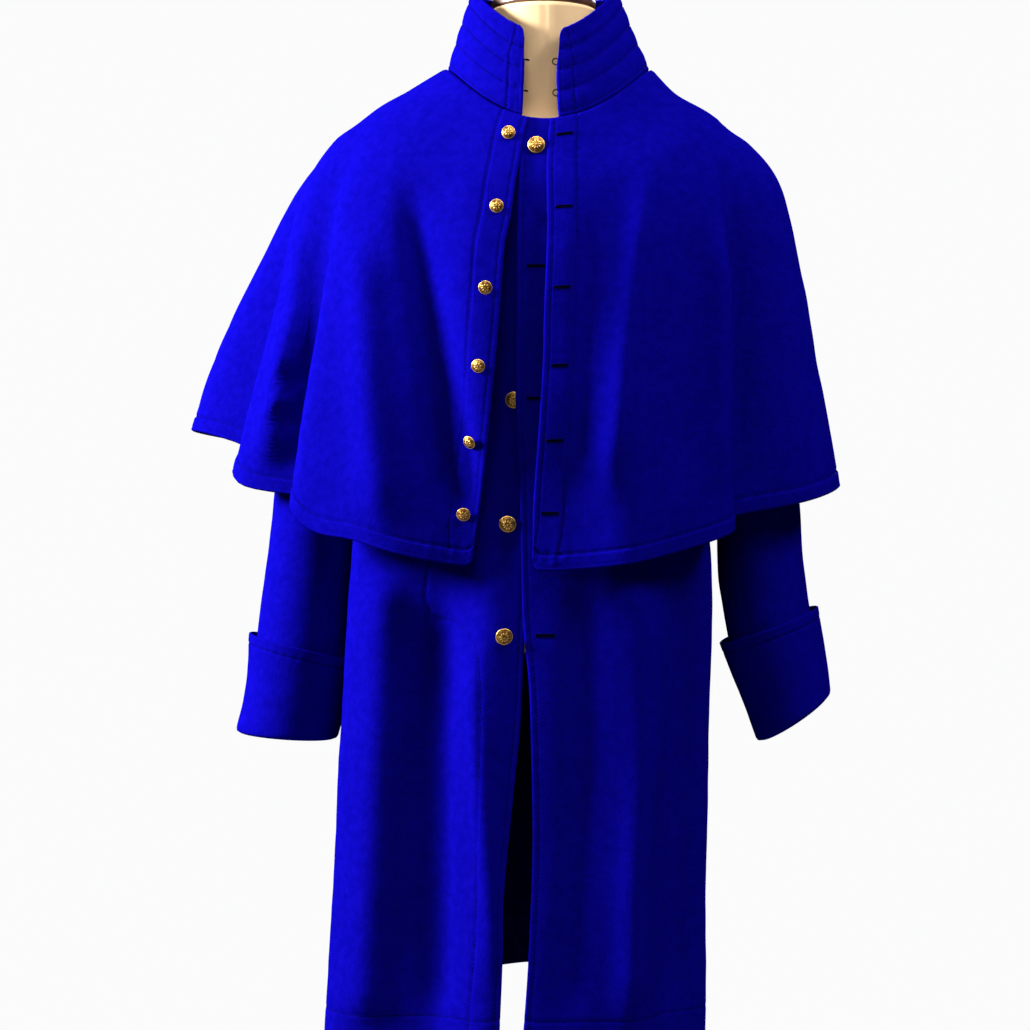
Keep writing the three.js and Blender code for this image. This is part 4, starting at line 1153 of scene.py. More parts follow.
class Palette:
    """Builds each finish as a material when it is first asked for."""

    def __init__(self) -> None:
        """Makes the shared effects."""
        self.effects = Effects()
        self.made: dict[str, bpy.types.Material] = {}

    def _start(self, finish: Finish) -> tuple[bpy.types.Material, Graph, bpy.types.Node]:
        """Starts a material with its uniform numbers on the shader's own sockets."""
        material = bpy.data.materials.new(finish.name)
        material.use_nodes = True
        tree = material.node_tree
        shader = tree.nodes["Principled BSDF"]
        shader.inputs["Roughness"].default_value = finish.roughness
        shader.inputs["Metallic"].default_value = finish.metallic
        shader.inputs["Specular IOR Level"].default_value = finish.specular
        material.diffuse_color = (*finish.light, 1.0)
        return material, Graph(tree), shader

    @staticmethod
    def _bump(g: Graph, shader: bpy.types.Node, height: bpy.types.NodeSocket, strength: float,
              deep: float) -> None:
        """Joins a height to the shader's normal."""
        bump = g.add("ShaderNodeBump")
        bump.inputs["Strength"].default_value = strength
        bump.inputs["Distance"].default_value = deep
        g.join(height, bump.inputs["Height"])
        g.join(bump.outputs[0], shader.inputs["Normal"])

    def _group(self, g: Graph, tree: bpy.types.NodeTree, **values: float) -> bpy.types.Node:
        """Places a shared group with its own values."""
        node = g.add("ShaderNodeGroup")
        node.node_tree = tree
        for name, value in values.items():
            node.inputs[name.replace("_", " ").title()].default_value = value
        return node

    def wool(self, finish: Finish) -> bpy.types.Material:
        """Fulled wool with a short nap."""
        if finish.name not in self.made:
            material, g, shader = self._start(finish)
            nap = self._group(g, self.effects.nap, fibre_scale=640.0, mottle_scale=95.0)
            wear = self._group(g, self.effects.wear, grime_scale=55.0, rub=0.5)
            base = g.mix(nap.outputs["Mottle"], finish.deep, finish.light)
            rubbed = tuple(min(1.0, v * 1.15) for v in finish.light)
            edged = g.mix(g.math("MULTIPLY", wear.outputs["Rubbed"], 0.5), base, rubbed)
            fibre = tuple(min(1.0, v * 1.3 + 0.004) for v in finish.light)
            linted = g.mix(g.math("MULTIPLY", nap.outputs["Lint"], 0.35), edged, fibre)
            g.join(linted, shader.inputs["Base Color"])
            rough = g.math("MULTIPLY_ADD", nap.outputs["Height"], 0.12)
            rough.node.inputs[2].default_value = finish.roughness - 0.1
            g.join(rough, shader.inputs["Roughness"])
            self._bump(g, shader, nap.outputs["Height"], finish.bump, NAP_DEEP)
            self.made[finish.name] = material
        return self.made[finish.name]

    def thread(self, finish: Finish) -> bpy.types.Material:
        """Twisted sewing thread or a woven cover."""
        if finish.name not in self.made:
            material, g, shader = self._start(finish)
            weave = self._group(g, self.effects.weave, threads=5200.0, slub=0.6)
            g.join(g.mix(weave.outputs["Gaps"], finish.deep, finish.light), shader.inputs["Base Color"])
            self._bump(g, shader, weave.outputs["Height"], finish.bump, WEAVE_DEEP)
            self.made[finish.name] = material
        return self.made[finish.name]

    def metal(self, finish: Finish) -> bpy.types.Material:
        """Stamped, drawn or painted metal with rubbed high places and grime in the low ones."""
        if finish.name not in self.made:
            material, g, shader = self._start(finish)
            wear = self._group(g, self.effects.wear, grime_scale=260.0, rub=1.0)
            clean = g.mix(wear.outputs["Rubbed"], finish.deep, finish.light)
            mid = tuple(0.55 * a + 0.45 * b for a, b in zip(finish.deep, finish.light))
            soiled = g.mix(g.math("MULTIPLY", wear.outputs["Grime"], 0.45), clean, mid)
            g.join(soiled, shader.inputs["Base Color"])
            rough = g.math("MULTIPLY_ADD", wear.outputs["Grime"], 0.22)
            rough.node.inputs[2].default_value = finish.roughness
            g.join(rough, shader.inputs["Roughness"])
            self._bump(g, shader, wear.outputs["Grime"], finish.bump, GRIME_DEEP)
            self.made[finish.name] = material
        return self.made[finish.name]

    def timber(self, finish: Finish) -> bpy.types.Material:
        """Turned and varnished wood with rings that run up the piece."""
        if finish.name not in self.made:
            material, g, shader = self._start(finish)
            place = g.add("ShaderNodeTexCoord").outputs["Object"]
            warp = g.noise(place, 9.0, 5.0, (6.0, 6.0, 0.6))
            rings = g.noise(place, 60.0, 6.0, (1.0, 1.0, 0.12))
            mixed = g.math("ADD", g.math("MULTIPLY", warp, 0.6), g.math("MULTIPLY", rings, 0.5))
            grain = g.ramp(mixed, 0.4, 0.75)
            wear = self._group(g, self.effects.wear, grime_scale=90.0, rub=0.6)
            base = g.mix(grain, finish.deep, finish.light)
            soiled = g.mix(g.math("MULTIPLY", wear.outputs["Grime"], 0.3), base, finish.deep)
            g.join(soiled, shader.inputs["Base Color"])
            shader.inputs["Coat Weight"].default_value = 0.3
            self._bump(g, shader, grain, finish.bump, GRAIN_DEEP)
            self.made[finish.name] = material
        return self.made[finish.name]


WOOL = Finish("wool", (0.0010, 0.0006, 0.135), (0.0017, 0.0009, 0.165), 0.95, specular=0.0, bump=0.8)
# The inner face: the same wool painted far darker, as painted shade for the inside of the coat.
WOOL_INSIDE_SHADE = Finish(
    "wool_inside_shade", (0.0002, 0.0002, 0.012), (0.0005, 0.0004, 0.026), 0.97, specular=0.0, bump=0.3)
# Sewing thread: its own blue, darkened to near black as painted shade for the shadow in the stitched grooves.
THREAD_AND_GROOVE_SHADE = Finish("thread", (0.0001, 0.0001, 0.004), (0.0002, 0.0002, 0.016), 0.85, specular=0.02, bump=0.3)
# The buttonholes' slits: a near-black strip that paints the shade inside each cut.
SLIT_SHADE = Finish("slit", (0.0002, 0.0002, 0.001), (0.0004, 0.0004, 0.004), 0.95, specular=0.02, bump=0.2)
BRASS = Finish("brass", (0.13, 0.045, 0.006), (0.86, 0.52, 0.13), 0.36, metallic=0.85, bump=0.15)
WIRE = Finish("wire", (0.008, 0.005, 0.003), (0.05, 0.03, 0.016), 0.42, metallic=1.0, bump=0.2)
LINEN = Finish("linen", (0.58, 0.385, 0.205), (0.70, 0.48, 0.265), 0.86, specular=0.15, bump=0.35)
TIMBER = Finish("timber", (0.035, 0.011, 0.005), (0.13, 0.05, 0.020), 0.38, bump=0.15)
IRON = Finish("iron", (0.004, 0.004, 0.0045), (0.014, 0.014, 0.015), 0.46, bump=0.2)


def stops(total: float, coarse: float, fine: float, near_start: float = 0.0, near_end: float = 0.0) -> Array:
    """Places along a length: close together near its ends, wider apart between them."""
    parts = []
    if near_start:
        parts.append(np.arange(0, near_start, fine))
    middle = total - near_start - near_end
    parts.append(np.linspace(near_start, total - near_end, max(2, int(round(middle / coarse)) + 1)))
    if near_end:
        parts.append(np.linspace(total - near_end, total, int(round(near_end / fine)) + 1)[1:])
    return np.unique(np.round(np.concatenate(parts), 5))


def fan(sheet: Sheet, start: Array, end: Array, ats: Array, fine_wide: float, fine: float,
        columns: int) -> Array:
    """Angles of a panel's grid: close together by the first edge and at the last seam.

    Args:
        sheet: the surface.
        start: the first edge's angle in each row.
        end: the last edge's angle in each row.
        ats: the rows' distances along the sheet.
        fine_wide: how far the close columns reach from the first edge.
        fine: their spacing.
        columns: how many columns share the rest.

    Returns:
        One angle for each row and column.
    """
    p = sheet.point(start, ats)
    r = np.hypot(p[:, 0], p[:, 1])
    way = np.sign(end - start)
    near = start[:, None] + way[:, None] * np.degrees(np.arange(0, fine_wide, fine)[None, :] / r[:, None])
    last = start + way * np.degrees(fine_wide / r)
    t = np.concatenate([np.linspace(0, 1, columns)[:-1], [0.994, 0.997, 1.0]])
    t = np.unique(t)
    rest = last[:, None] + (end - last)[:, None] * t[None, :]
    return np.concatenate([near, rest], axis=1)


@dataclass
class Wardrobe:
    """Makes cloth and sewing in the shared materials."""

    palette: Palette

    def cloth(self, name: str, built: Built, node: str) -> bpy.types.Object:
        """Makes a cloth piece in place of a CAD node, with its inner face in the wool that carries painted
        shade.
        """
        materials = [self.palette.wool(WOOL), self.palette.wool(WOOL_INSIDE_SHADE)]
        obj = to_object(name, built, materials)
        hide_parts(node)
        return obj

    def sewing(self, name: str, parts: Sequence[Built], *finishes: Finish) -> bpy.types.Object:
        """Makes one piece of all the stitches or buttonholes on a panel."""
        obj = to_object(name, join(parts), [self.palette.thread(f) for f in finishes])
        return obj


def hole_row(drape: Drape, heights: Sequence[float], inward: float, long: float) -> list[Built]:
    """Buttonholes along a front edge.

    Args:
        drape: the panel's outer grid, whose first column is the front edge.
        heights: the buttonholes' heights.
        inward: from the edge to each hole's middle.
        long: the length of a slit.

    Returns:
        Mesh arrays of the holes.
    """
    spots, ways = drape.line_down(inward)
    near, _ = drape.line_down(inward - 8)
    far, _ = drape.line_down(inward + 8)
    order = np.argsort(spots[:, 2])
    parts = []
    for z in heights:
        def at_height(values: Array) -> Array:
            """Reads a line where it passes the hole's height."""
            return np.array([np.interp(z, spots[order, 2], values[order, k]) for k in range(3)])

        way = unit(at_height(far) - at_height(near))
        up = unit(at_height(ways))
        up = unit(up - way * float(np.dot(up, way)))
        parts.append(buttonhole(at_height(spots), way, up, long))
    return parts


@dataclass
class Cape:
    """One half of the elbow cape, from its front edge to the centre back seam."""

    side: Side
    flat: tuple[float, float]
    area: float
    creases: tuple[Crease, ...] = ()
    corner: float = 12.0

    def grid(self) -> Drape:
        """The outer face before its seams and hem are pressed in."""
        ats = stops(CAPE_LONG, 5.0, 1.5, 6.0, 24.0)
        edge = CAPE.edge_angle(CAPE_EDGE[self.side], ats)
        gap = np.degrees(SEAM / 2 / CAPE.read("back", ats))
        end = self.side.sign * (180.0 - gap)
        angles = fan(CAPE, edge, end, ats, 44.0, 1.5, 118)
        p = CAPE.point(edge, ats)
        r = np.hypot(p[:, 0], p[:, 1])
        inward = np.radians(np.abs(angles - edge[:, None])) * r[:, None]
        cut = corner_cut(inward, self.corner)
        rows = ats[:, None] - cut * ease(CAPE_LONG - 70, CAPE_LONG, ats)[:, None]
        rows = rows + 0.35 * cut * (1 - ease(0, 40, ats))[:, None]
        points = CAPE.point(angles, rows)
        return Drape(points, facing_of(points, False, CAPE.normal(angles, rows)))

    def soft(self, d: Drape) -> Array:
        """Listed creases and the cloth's slight unevenness."""
        seed = 1.0 if self.side is Side.RIGHT else 4.0
        worn = wander(d.points, 120.0, seed) * 0.9 + wander(d.points, 42.0, seed + 2) * 0.35
        moved = crease_relief(d.points, self.creases) + worn * ease(0, 25, d.low)
        return np.maximum(moved, -coat_room(d.points))

    def pressed(self, d: Drape) -> Array:
        """Stitched lines, the facing's edge, the turned hem and the seams."""
        facing = (1 - ease(FACING - 3, FACING + 1, d.first)) * 0.55
        hem = HEM_RAISE * (1 - ease(HEM_TURN - 1, HEM_TURN + 1.5, d.high))
        lines = -0.7 * dip(d.first, EDGE_STITCH, 1.1) - 1.1 * dip(d.first, FACING, 1.9) * ease(10, 18, d.high)
        lines = lines - 1.0 * dip(d.high, HEM_TURN + 2, 1.8) - 0.35 * dip(d.high, 3.0, 1.2)
        seams = -1.3 * dip(d.last, 0, 2.4) - 1.2 * dip(d.low, 0, 2.4)
        near_lines = dip(d.first, FACING, 8) + dip(d.first, EDGE_STITCH, 4)
        pucker = 0.3 * np.sin(d.low * 2 * math.pi / 11.5) * near_lines
        wave = np.sin(d.first * 2 * math.pi / 14 + np.sin(d.first / 37.0))
        pucker = pucker + 0.35 * wave * dip(d.high, HEM_TURN, 9)
        return facing + hem + lines + seams + pucker

    def build(self, wardrobe: Wardrobe) -> bpy.types.Object:
        """Makes the cape half with its stitches, and buttonholes on the left one."""
        base = self.grid()
        soft = self.soft(base)
        outer = base.moved(soft + self.pressed(base))
        inner = base.points + base.facing * (soft - CLOTH)[..., None]
        name = f"cape_{self.side.label}"
        worn = np.maximum(dip(base.first, 0, 2.5), dip(base.high, 0, 2.5))
        obj = wardrobe.cloth(f"{name}_cloth", shell(outer.points, inner, outer.facing, worn=worn), name)
        log.info("%s: %.4f square metres", name, base.area())
        sewn = []
        sewn += stitches(*outer.line_down(EDGE_STITCH), 6, 8)
        sewn += stitches(*outer.line_down(FACING), 6, HEM_TURN + 2)
        sewn += stitches(*outer.line_across(HEM_TURN + 2, False), 8, 4)
        extras = [wardrobe.sewing(f"{name}_stitches", sewn, THREAD_AND_GROOVE_SHADE)]
        if self.side is Side.LEFT:
            holes = hole_row(outer, CAPE_BUTTON_Z, 19.0, 19.0)
            extras.append(wardrobe.sewing("cape_buttonholes", holes, THREAD_AND_GROOVE_SHADE, SLIT_SHADE))
        return obj


@dataclass
class BodyPanel:
    """A front or a back of the coat, from its edge or the centre back to the side seam."""

    side: Side
    front: bool
    flat: tuple[float, float]
    area: float
    creases: tuple[Crease, ...] = ()
    facing_line: tuple[tuple[float, float], ...] = ()
    fine_wide: float = 44.0
    hem: float = 30.0

    @property
    def node(self) -> str:
        """The CAD node that the panel stands for."""
        return f"coat_{'front' if self.front else 'back'}_{self.side.label}"

    @property
    def sheet(self) -> Sheet:
        """The surface that the panel lies on."""
        return COAT_OVER if self.front and self.side is Side.LEFT else COAT

    def grid(self) -> Drape:
        """The outer face before its seams are pressed in, from the front edge or the centre back."""
        ats = stops(COAT_NECK, 4.8 if self.front else 6.0, 2.0, 34.0, 6.0)
        seam = self.side.sign * SIDE_SEAM.x(ats)
        gap = np.degrees(SEAM / 2 / 200.0)
        if self.front:
            start = self.sheet.edge_angle(COAT_EDGE[self.side], ats)
            end = seam - self.side.sign * gap
            angles = fan(self.sheet, start, end, ats, self.fine_wide, 1.8, 62)
        else:
            start = np.full(ats.shape, self.side.sign * (180.0 - np.degrees(SEAM / 2 / 170.0)))
            end = seam + self.side.sign * gap
            angles = fan(self.sheet, start, end, ats, 9.0, 1.5, 62)
        points = self.sheet.point(angles, ats[:, None])
        return Drape(points, facing_of(points, False, self.sheet.normal(angles, ats[:, None] + 0 * angles)))

    def soft(self, d: Drape) -> Array:
        """Listed creases and slight unevenness, gone at the seams."""
        seed = 7.0 + 3.0 * self.side.sign + (1.5 if self.front else 0.0)
        uneven = wander(d.points, 150.0, seed) * 1.0 + wander(d.points, 47.0, seed + 2) * 0.35
        held = ease(0, 20, d.last) * (1 - 0.8 * ease(640, 800, d.low))
        return crease_relief(d.points, self.creases, self.front) * held + uneven * held

    def pressed(self, d: Drape) -> Array:
        """Stitched lines, hem and seams."""
        seams = -1.3 * dip(d.last, 0, 2.4) - 0.9 * dip(d.low, self.hem, 1.8)
        if not self.front:
            return seams - 1.3 * dip(d.first, 0, 2.4)
        lines = -0.7 * dip(d.first, EDGE_STITCH, 1.1)
        lines = lines + 0.25 * np.sin(d.low * 2 * math.pi / 12.0) * dip(d.first, EDGE_STITCH, 4)
        if self.facing_line:
            lines = lines + crease_relief(d.points, [Crease(self.facing_line, 2.1, -1.2, 0.01)])
            inside = crease_relief(d.points, [Crease(self.facing_line, 9.0, 0.28, 0.01)])
            lines = lines + inside * np.sin(d.low * 2 * math.pi / 13.0)
        return seams + lines

    def cut_armhole(self, obj: bpy.types.Object) -> None:
        """Cuts the hole that the sleeve is set into."""
        turns = np.linspace(0, 2 * math.pi, 72, endpoint=False)
        ring = np.stack([ARMHOLE_DEEP * np.sin(turns), ARMHOLE_Z + ARMHOLE_TALL * np.cos(turns)], -1)
        low, high = (120.0, 260.0) if self.side is Side.LEFT else (-260.0, -120.0)
        points = [[x, y, z] for x in (low, high) for y, z in ring]
        n = len(ring)
        faces = [[k, (k + 1) % n, n + (k + 1) % n, n + k] for k in range(n)]
        faces += [list(range(n - 1, -1, -1)), list(range(n, 2 * n))]
        mesh = bpy.data.meshes.new("armhole")
        mesh.from_pydata((np.array(points) * MM).tolist(), [], faces)
        mesh.update()
        cutter = bpy.data.objects.new("armhole", mesh)
        bpy.context.scene.collection.objects.link(cutter)
        cut = obj.modifiers.new("armhole", "BOOLEAN")
        cut.operation = "DIFFERENCE"
        cut.solver = "EXACT"
        cut.object = cutter
        bpy.context.view_layer.update()
        done = bpy.data.meshes.new_from_object(obj.evaluated_get(bpy.context.evaluated_depsgraph_get()))
        obj.modifiers.clear()
        obj.data = done
        bpy.data.objects.remove(cutter)

    def build(self, wardrobe: Wardrobe) -> bpy.types.Object:
        """Makes the panel, its stitches, and buttonholes on the left front."""
        base = self.grid()
        soft = self.soft(base)
        outer = base.moved(soft + self.pressed(base))
        inner = base.points + base.facing * (soft - CLOTH)[..., None]
        worn = np.maximum(dip(base.first, 0, 2.5) if self.front else 0 * base.first, dip(base.low, 0, 2.5))
        built = shell(outer.points, inner, outer.facing, worn=worn)
        obj = wardrobe.cloth(f"{self.node}_cloth", built, self.node)
        self.cut_armhole(obj)
        log.info("%s: %.4f square metres", self.node, base.area())
        sewn = stitches(*outer.line_across(self.hem, True), 10, 4)
        if self.front:
            sewn += stitches(*outer.line_down(EDGE_STITCH), 8, 60)
        if self.facing_line:
            sewn += self.facing_stitches(outer)
        extras = [wardrobe.sewing(f"{self.node}_stitches", sewn, THREAD_AND_GROOVE_SHADE)]
        if self.front and self.side is Side.LEFT:
            holes = hole_row(outer, COAT_HOLE_Z, 24.0, 22.0)
            extras.append(wardrobe.sewing("coat_buttonholes", holes, THREAD_AND_GROOVE_SHADE, SLIT_SHADE))
        return obj

    def facing_stitches(self, outer: Drape) -> list[Built]:
        """Stitches along the facing's inner edge, where it shows through the front."""
        path = np.asarray(self.facing_line, float)
        legs = np.concatenate([[0], np.cumsum(np.linalg.norm(np.diff(path, axis=0), axis=1))])
        steps = np.arange(0, legs[-1], 4.0)
        x = np.interp(steps, legs, path[:, 0])
        z = np.interp(steps, legs, path[:, 1])
        angle, at = self.sheet.locate(0, x, z, np.full(x.shape, -20.0), z - 392)
        ways = self.sheet.normal(angle, at)
        spots = self.sheet.point(angle, at)
        flat = outer.points.reshape(-1, 3)
        out = np.empty(len(spots))
        for k, p in enumerate(spots):
            near = flat[np.argmin(((flat - p) ** 2).sum(-1))]
            out[k] = float(np.dot(near - p, ways[k]))
        return stitches(spots + ways * out[:, None], ways, 4, 4)


@dataclass(frozen=True)
class TubeRow:
    """One section of a sleeve or cuff: its outer and inner corners seen from the front, middle and depth."""

    out_x: float
    out_z: float
    in_x: float
    in_z: float
    y: float
    deep: float


@dataclass(frozen=True)
class Tube:
    """A sleeve's or cuff's surface."""

    side: Side
    rows: tuple[TubeRow, ...]

    def point(self, turn: Array, row: Array, inset: Array) -> Array:
        """Points `turn` degrees round from the outer line, at a row number, drawn in by `inset`."""
        turn, row, inset = np.broadcast_arrays(*(np.asarray(v, float) for v in (turn, row, inset)))
        ks = np.arange(len(self.rows))

        def read(name: str) -> Array:
            """Reads a column of the rows."""
            return curve(ks, [getattr(r, name) for r in self.rows], row)

        y = read("y")
        outer = np.stack([self.side.sign * read("out_x"), y, read("out_z")], -1)
        inner = np.stack([self.side.sign * read("in_x"), y, read("in_z")], -1)
        across = outer - inner
        width = np.linalg.norm(across, axis=-1)
        way = across / width[..., None]
        half = width / 2 - inset
        p = (outer + inner) / 2 + way * (half * np.cos(np.radians(turn)))[..., None]
        p[..., 1] += (read("deep") - inset) * np.sin(np.radians(turn))
        return p

    def axis(self, row: Array) -> Array:
        """The tube's middle at row numbers."""
        return (self.point(0.0, row, 0.0) + self.point(180.0, row, 0.0)) / 2


SLEEVE = {
    Side.LEFT: Tube(Side.LEFT, (
        TubeRow(229, 1461, 197, 1270, 0, 70),
        TubeRow(253, 1436, 199, 1262, 0, 71),
        TubeRow(274, 1394, 201, 1250, 0, 71),
        TubeRow(287, 1340, 203, 1230, 1, 70),
        TubeRow(297, 1265, 204, 1192, 3, 67),
        TubeRow(305, 1180, 206, 1136, 5, 64),
        TubeRow(310, 1085, 209, 1062, 6, 62),
        TubeRow(314, 1000, 212, 985, 3, 61),
        TubeRow(319, 930, 216, 912, -4, 60),
        TubeRow(328, 862, 228, 836, -12, 59),
        TubeRow(335, 826, 243, 788, -17, 57),
        TubeRow(340, 796, 262, 742, -22, 55),
    )),
    Side.RIGHT: Tube(Side.RIGHT, (
        TubeRow(229, 1461, 197, 1270, 0, 70),
        TubeRow(253, 1436, 199, 1262, 0, 71),
        TubeRow(274, 1394, 201, 1250, 0, 71),
        TubeRow(288, 1340, 203, 1230, 1, 70),
        TubeRow(300, 1265, 206, 1192, 4, 67),
        TubeRow(313, 1180, 212, 1138, 8, 65),
        TubeRow(325, 1085, 220, 1064, 10, 63),
        TubeRow(333, 1000, 227, 987, 10, 62),
        TubeRow(341, 930, 233, 916, 8, 62),
        TubeRow(350, 862, 239, 846, 4, 61),
        TubeRow(357, 800, 246, 788, 0, 60),
        TubeRow(367, 746, 260, 737, -4, 59),
    )),
}
CUFF = {
    Side.LEFT: Tube(Side.LEFT, (
        TubeRow(335, 889, 215, 843, -10, 71),
        TubeRow(340, 850, 230, 803, -14, 66.5),
        TubeRow(345, 815, 247, 762, -18, 63.5),
        TubeRow(348, 786, 259, 726, -22, 62),
    )),
    Side.RIGHT: Tube(Side.RIGHT, (
        TubeRow(361, 856, 232, 824, 4, 72),
        TubeRow(362, 818, 238, 790, 2, 69),
        TubeRow(367, 778, 244, 758, -1, 67),
        TubeRow(376, 738, 252, 728, -4, 66),
    )),
}


@dataclass
class Sleeve:
    """A sleeve of two pieces and its turned-back cuff."""

    side: Side
    top_flat: tuple[float, float]
    top_area: float
    under_flat: tuple[float, float]
    under_area: float
    cuff_flat: tuple[float, float]
    cuff_stitch: float = 12.0

    def armhole(self, turn: Array, past: bool) -> Array:
        """The sleeve's ring at the armhole, inside the body's wall or just past it."""
        y = (ARMHOLE_DEEP - SEAM) * np.sin(np.radians(turn))
        z = ARMHOLE_Z + (ARMHOLE_TALL - SEAM) * np.cos(np.radians(turn))
        guess = self.side.sign * (90 + np.degrees(np.arctan2(y, 200.0)))
        angle, at = COAT.locate(1, y, z, guess, z - 406)
        x = np.abs(COAT.point(angle, at)[..., 0]) + (5 if past else -2.4)
        return np.stack([self.side.sign * x, y, z], -1)

    def piece(self, wardrobe: Wardrobe, top: bool) -> bpy.types.Object:
        """The top or the under sleeve, between its two seams."""
        first, last = BACK_SLEEVE_SEAM, FRONT_SLEEVE_SEAM
        if top:
            first, last = FRONT_SLEEVE_SEAM - 360, BACK_SLEEVE_SEAM
        count = 76 if top else 40
        turns = np.linspace(first + 0.2, last - 0.2, count)
        near = (turns[1] - turns[0]) * 0.4
        turns = np.unique(np.concatenate([turns, [turns[0] + near, turns[-1] - near]]))
        surface, cuff = SLEEVE[self.side], CUFF[self.side]
        rows = [self.armhole(turns, False), self.armhole(turns, True)]
        rows += [surface.point(turns, row, 0.0) for row in np.linspace(0, 10, 121)]
        end = CUFF_FOLD + SEAM
        start, finish = rows[-1], cuff.point(turns, 2.8, end)
        rows += [start + (finish - start) * t for t in (0.25, 0.5, 0.75, 1.0)]
        rows.append(cuff.point(turns, 3.0, end))
        points = np.array(rows)
        base = Drape(points, facing_of(points, False, points - self._axis()))
        seed = 11.0 + self.side.sign * 2 + (3.0 if top else 0.0)
        inside = ease(40, 120, base.low) * ease(60, 110, base.high)
        flat = ease(0, 14, base.first) * ease(0, 14, base.last)
        uneven = wander(points, 95.0, seed) * 0.9 + wander(points, 38.0, seed + 1) * 0.35
        soft = uneven * inside * flat
        seams = (-1.2 * dip(base.first, 0, 2.6) - 1.2 * dip(base.last, 0, 2.6)) * ease(20, 60, base.high)
        outer = base.moved(soft + seams * ease(14, 30, base.low))
        inner = base.points + base.facing * (soft - CLOTH)[..., None]
        name = f"sleeve_{self.side.label}_{'top' if top else 'under'}"
        obj = wardrobe.cloth(f"{name}_cloth", shell(outer.points, inner, outer.facing), name)
        log.info("%s: %.4f square metres", name, base.area())
        return obj

    def _axis(self) -> Array:
        """The sleeve's middle in each row, wherever the piece lies round it."""
        surface, cuff = SLEEVE[self.side], CUFF[self.side]
        rows = [np.array([self.side.sign * 205.0, 0.0, ARMHOLE_Z])] * 2
        rows += [surface.axis(row) for row in np.linspace(0, 10, 121)]
        end = cuff.axis(2.8)
        rows += [rows[-1] + (end - rows[-1]) * t for t in (0.25, 0.5, 0.75, 1.0)]
        rows.append(cuff.axis(3.0))
        return np.array(rows)[:, None, :]

    def cuff(self, wardrobe: Wardrobe) -> bpy.types.Object:
        """The deep cuff, stitched near its upper edge and turned in at the lower one."""
        turns = np.linspace(0, 360, 150, endpoint=False)
        rows = np.concatenate([
            np.linspace(0, 0.5, 22)[:-1], np.linspace(0.5, 2.7, 24)[:-1], np.linspace(2.7, 3, 9)])
        surface = CUFF[self.side]
        tucked = np.clip((rows - 2.85) / 0.15, 0, 1)
        points = surface.point(turns[None, :], rows[:, None], (1.2 * tucked**2)[:, None])
        under = surface.point(turns[None, :], rows[:, None], (CLOTH + (CUFF_FOLD - CLOTH) * tucked)[:, None])
        axis = surface.axis(rows)[:, None, :]
        base = Drape(points, facing_of(points, True, points - axis))
        seed = 21.0 + self.side.sign
        uneven = wander(points, 80.0, seed) * 0.7 + wander(points, 30.0, seed + 1) * 0.25
        soft = uneven * ease(0, 30, base.high)
        line = -0.9 * dip(base.low, self.cuff_stitch, 1.6)
        pucker = 0.25 * np.sin(base.first * 2 * math.pi / 12) * dip(base.low, self.cuff_stitch, 7)
        bow = turns[None, :] - BACK_SLEEVE_SEAM
        seam = -1.0 * np.exp(-((bow * 1.1 / 2.4) ** 2)) + 0 * base.low
        outer = base.moved(soft + line + pucker + seam)
        inner = under + base.facing * soft[..., None]
        name = f"cuff_{self.side.label}"
        built = shell(outer.points, inner, outer.facing, closed=True, worn=dip(base.low, 0, 2.5))
        obj = wardrobe.cloth(f"{name}_cloth", built, name)
        log.info("%s: %.4f square metres", name, base.area())
        spots, ways = outer.line_across(self.cuff_stitch, True)
        spots = np.concatenate([spots, spots[:1]])
        ways = np.concatenate([ways, ways[:1]])
        sewn = wardrobe.sewing(f"{name}_stitches", stitches(spots, ways, 1, 1), THREAD_AND_GROOVE_SHADE)
        return obj

    def build(self, wardrobe: Wardrobe) -> None:
        """Makes both pieces and the cuff."""
        self.piece(wardrobe, True)
        self.piece(wardrobe, False)
        self.cuff(wardrobe)


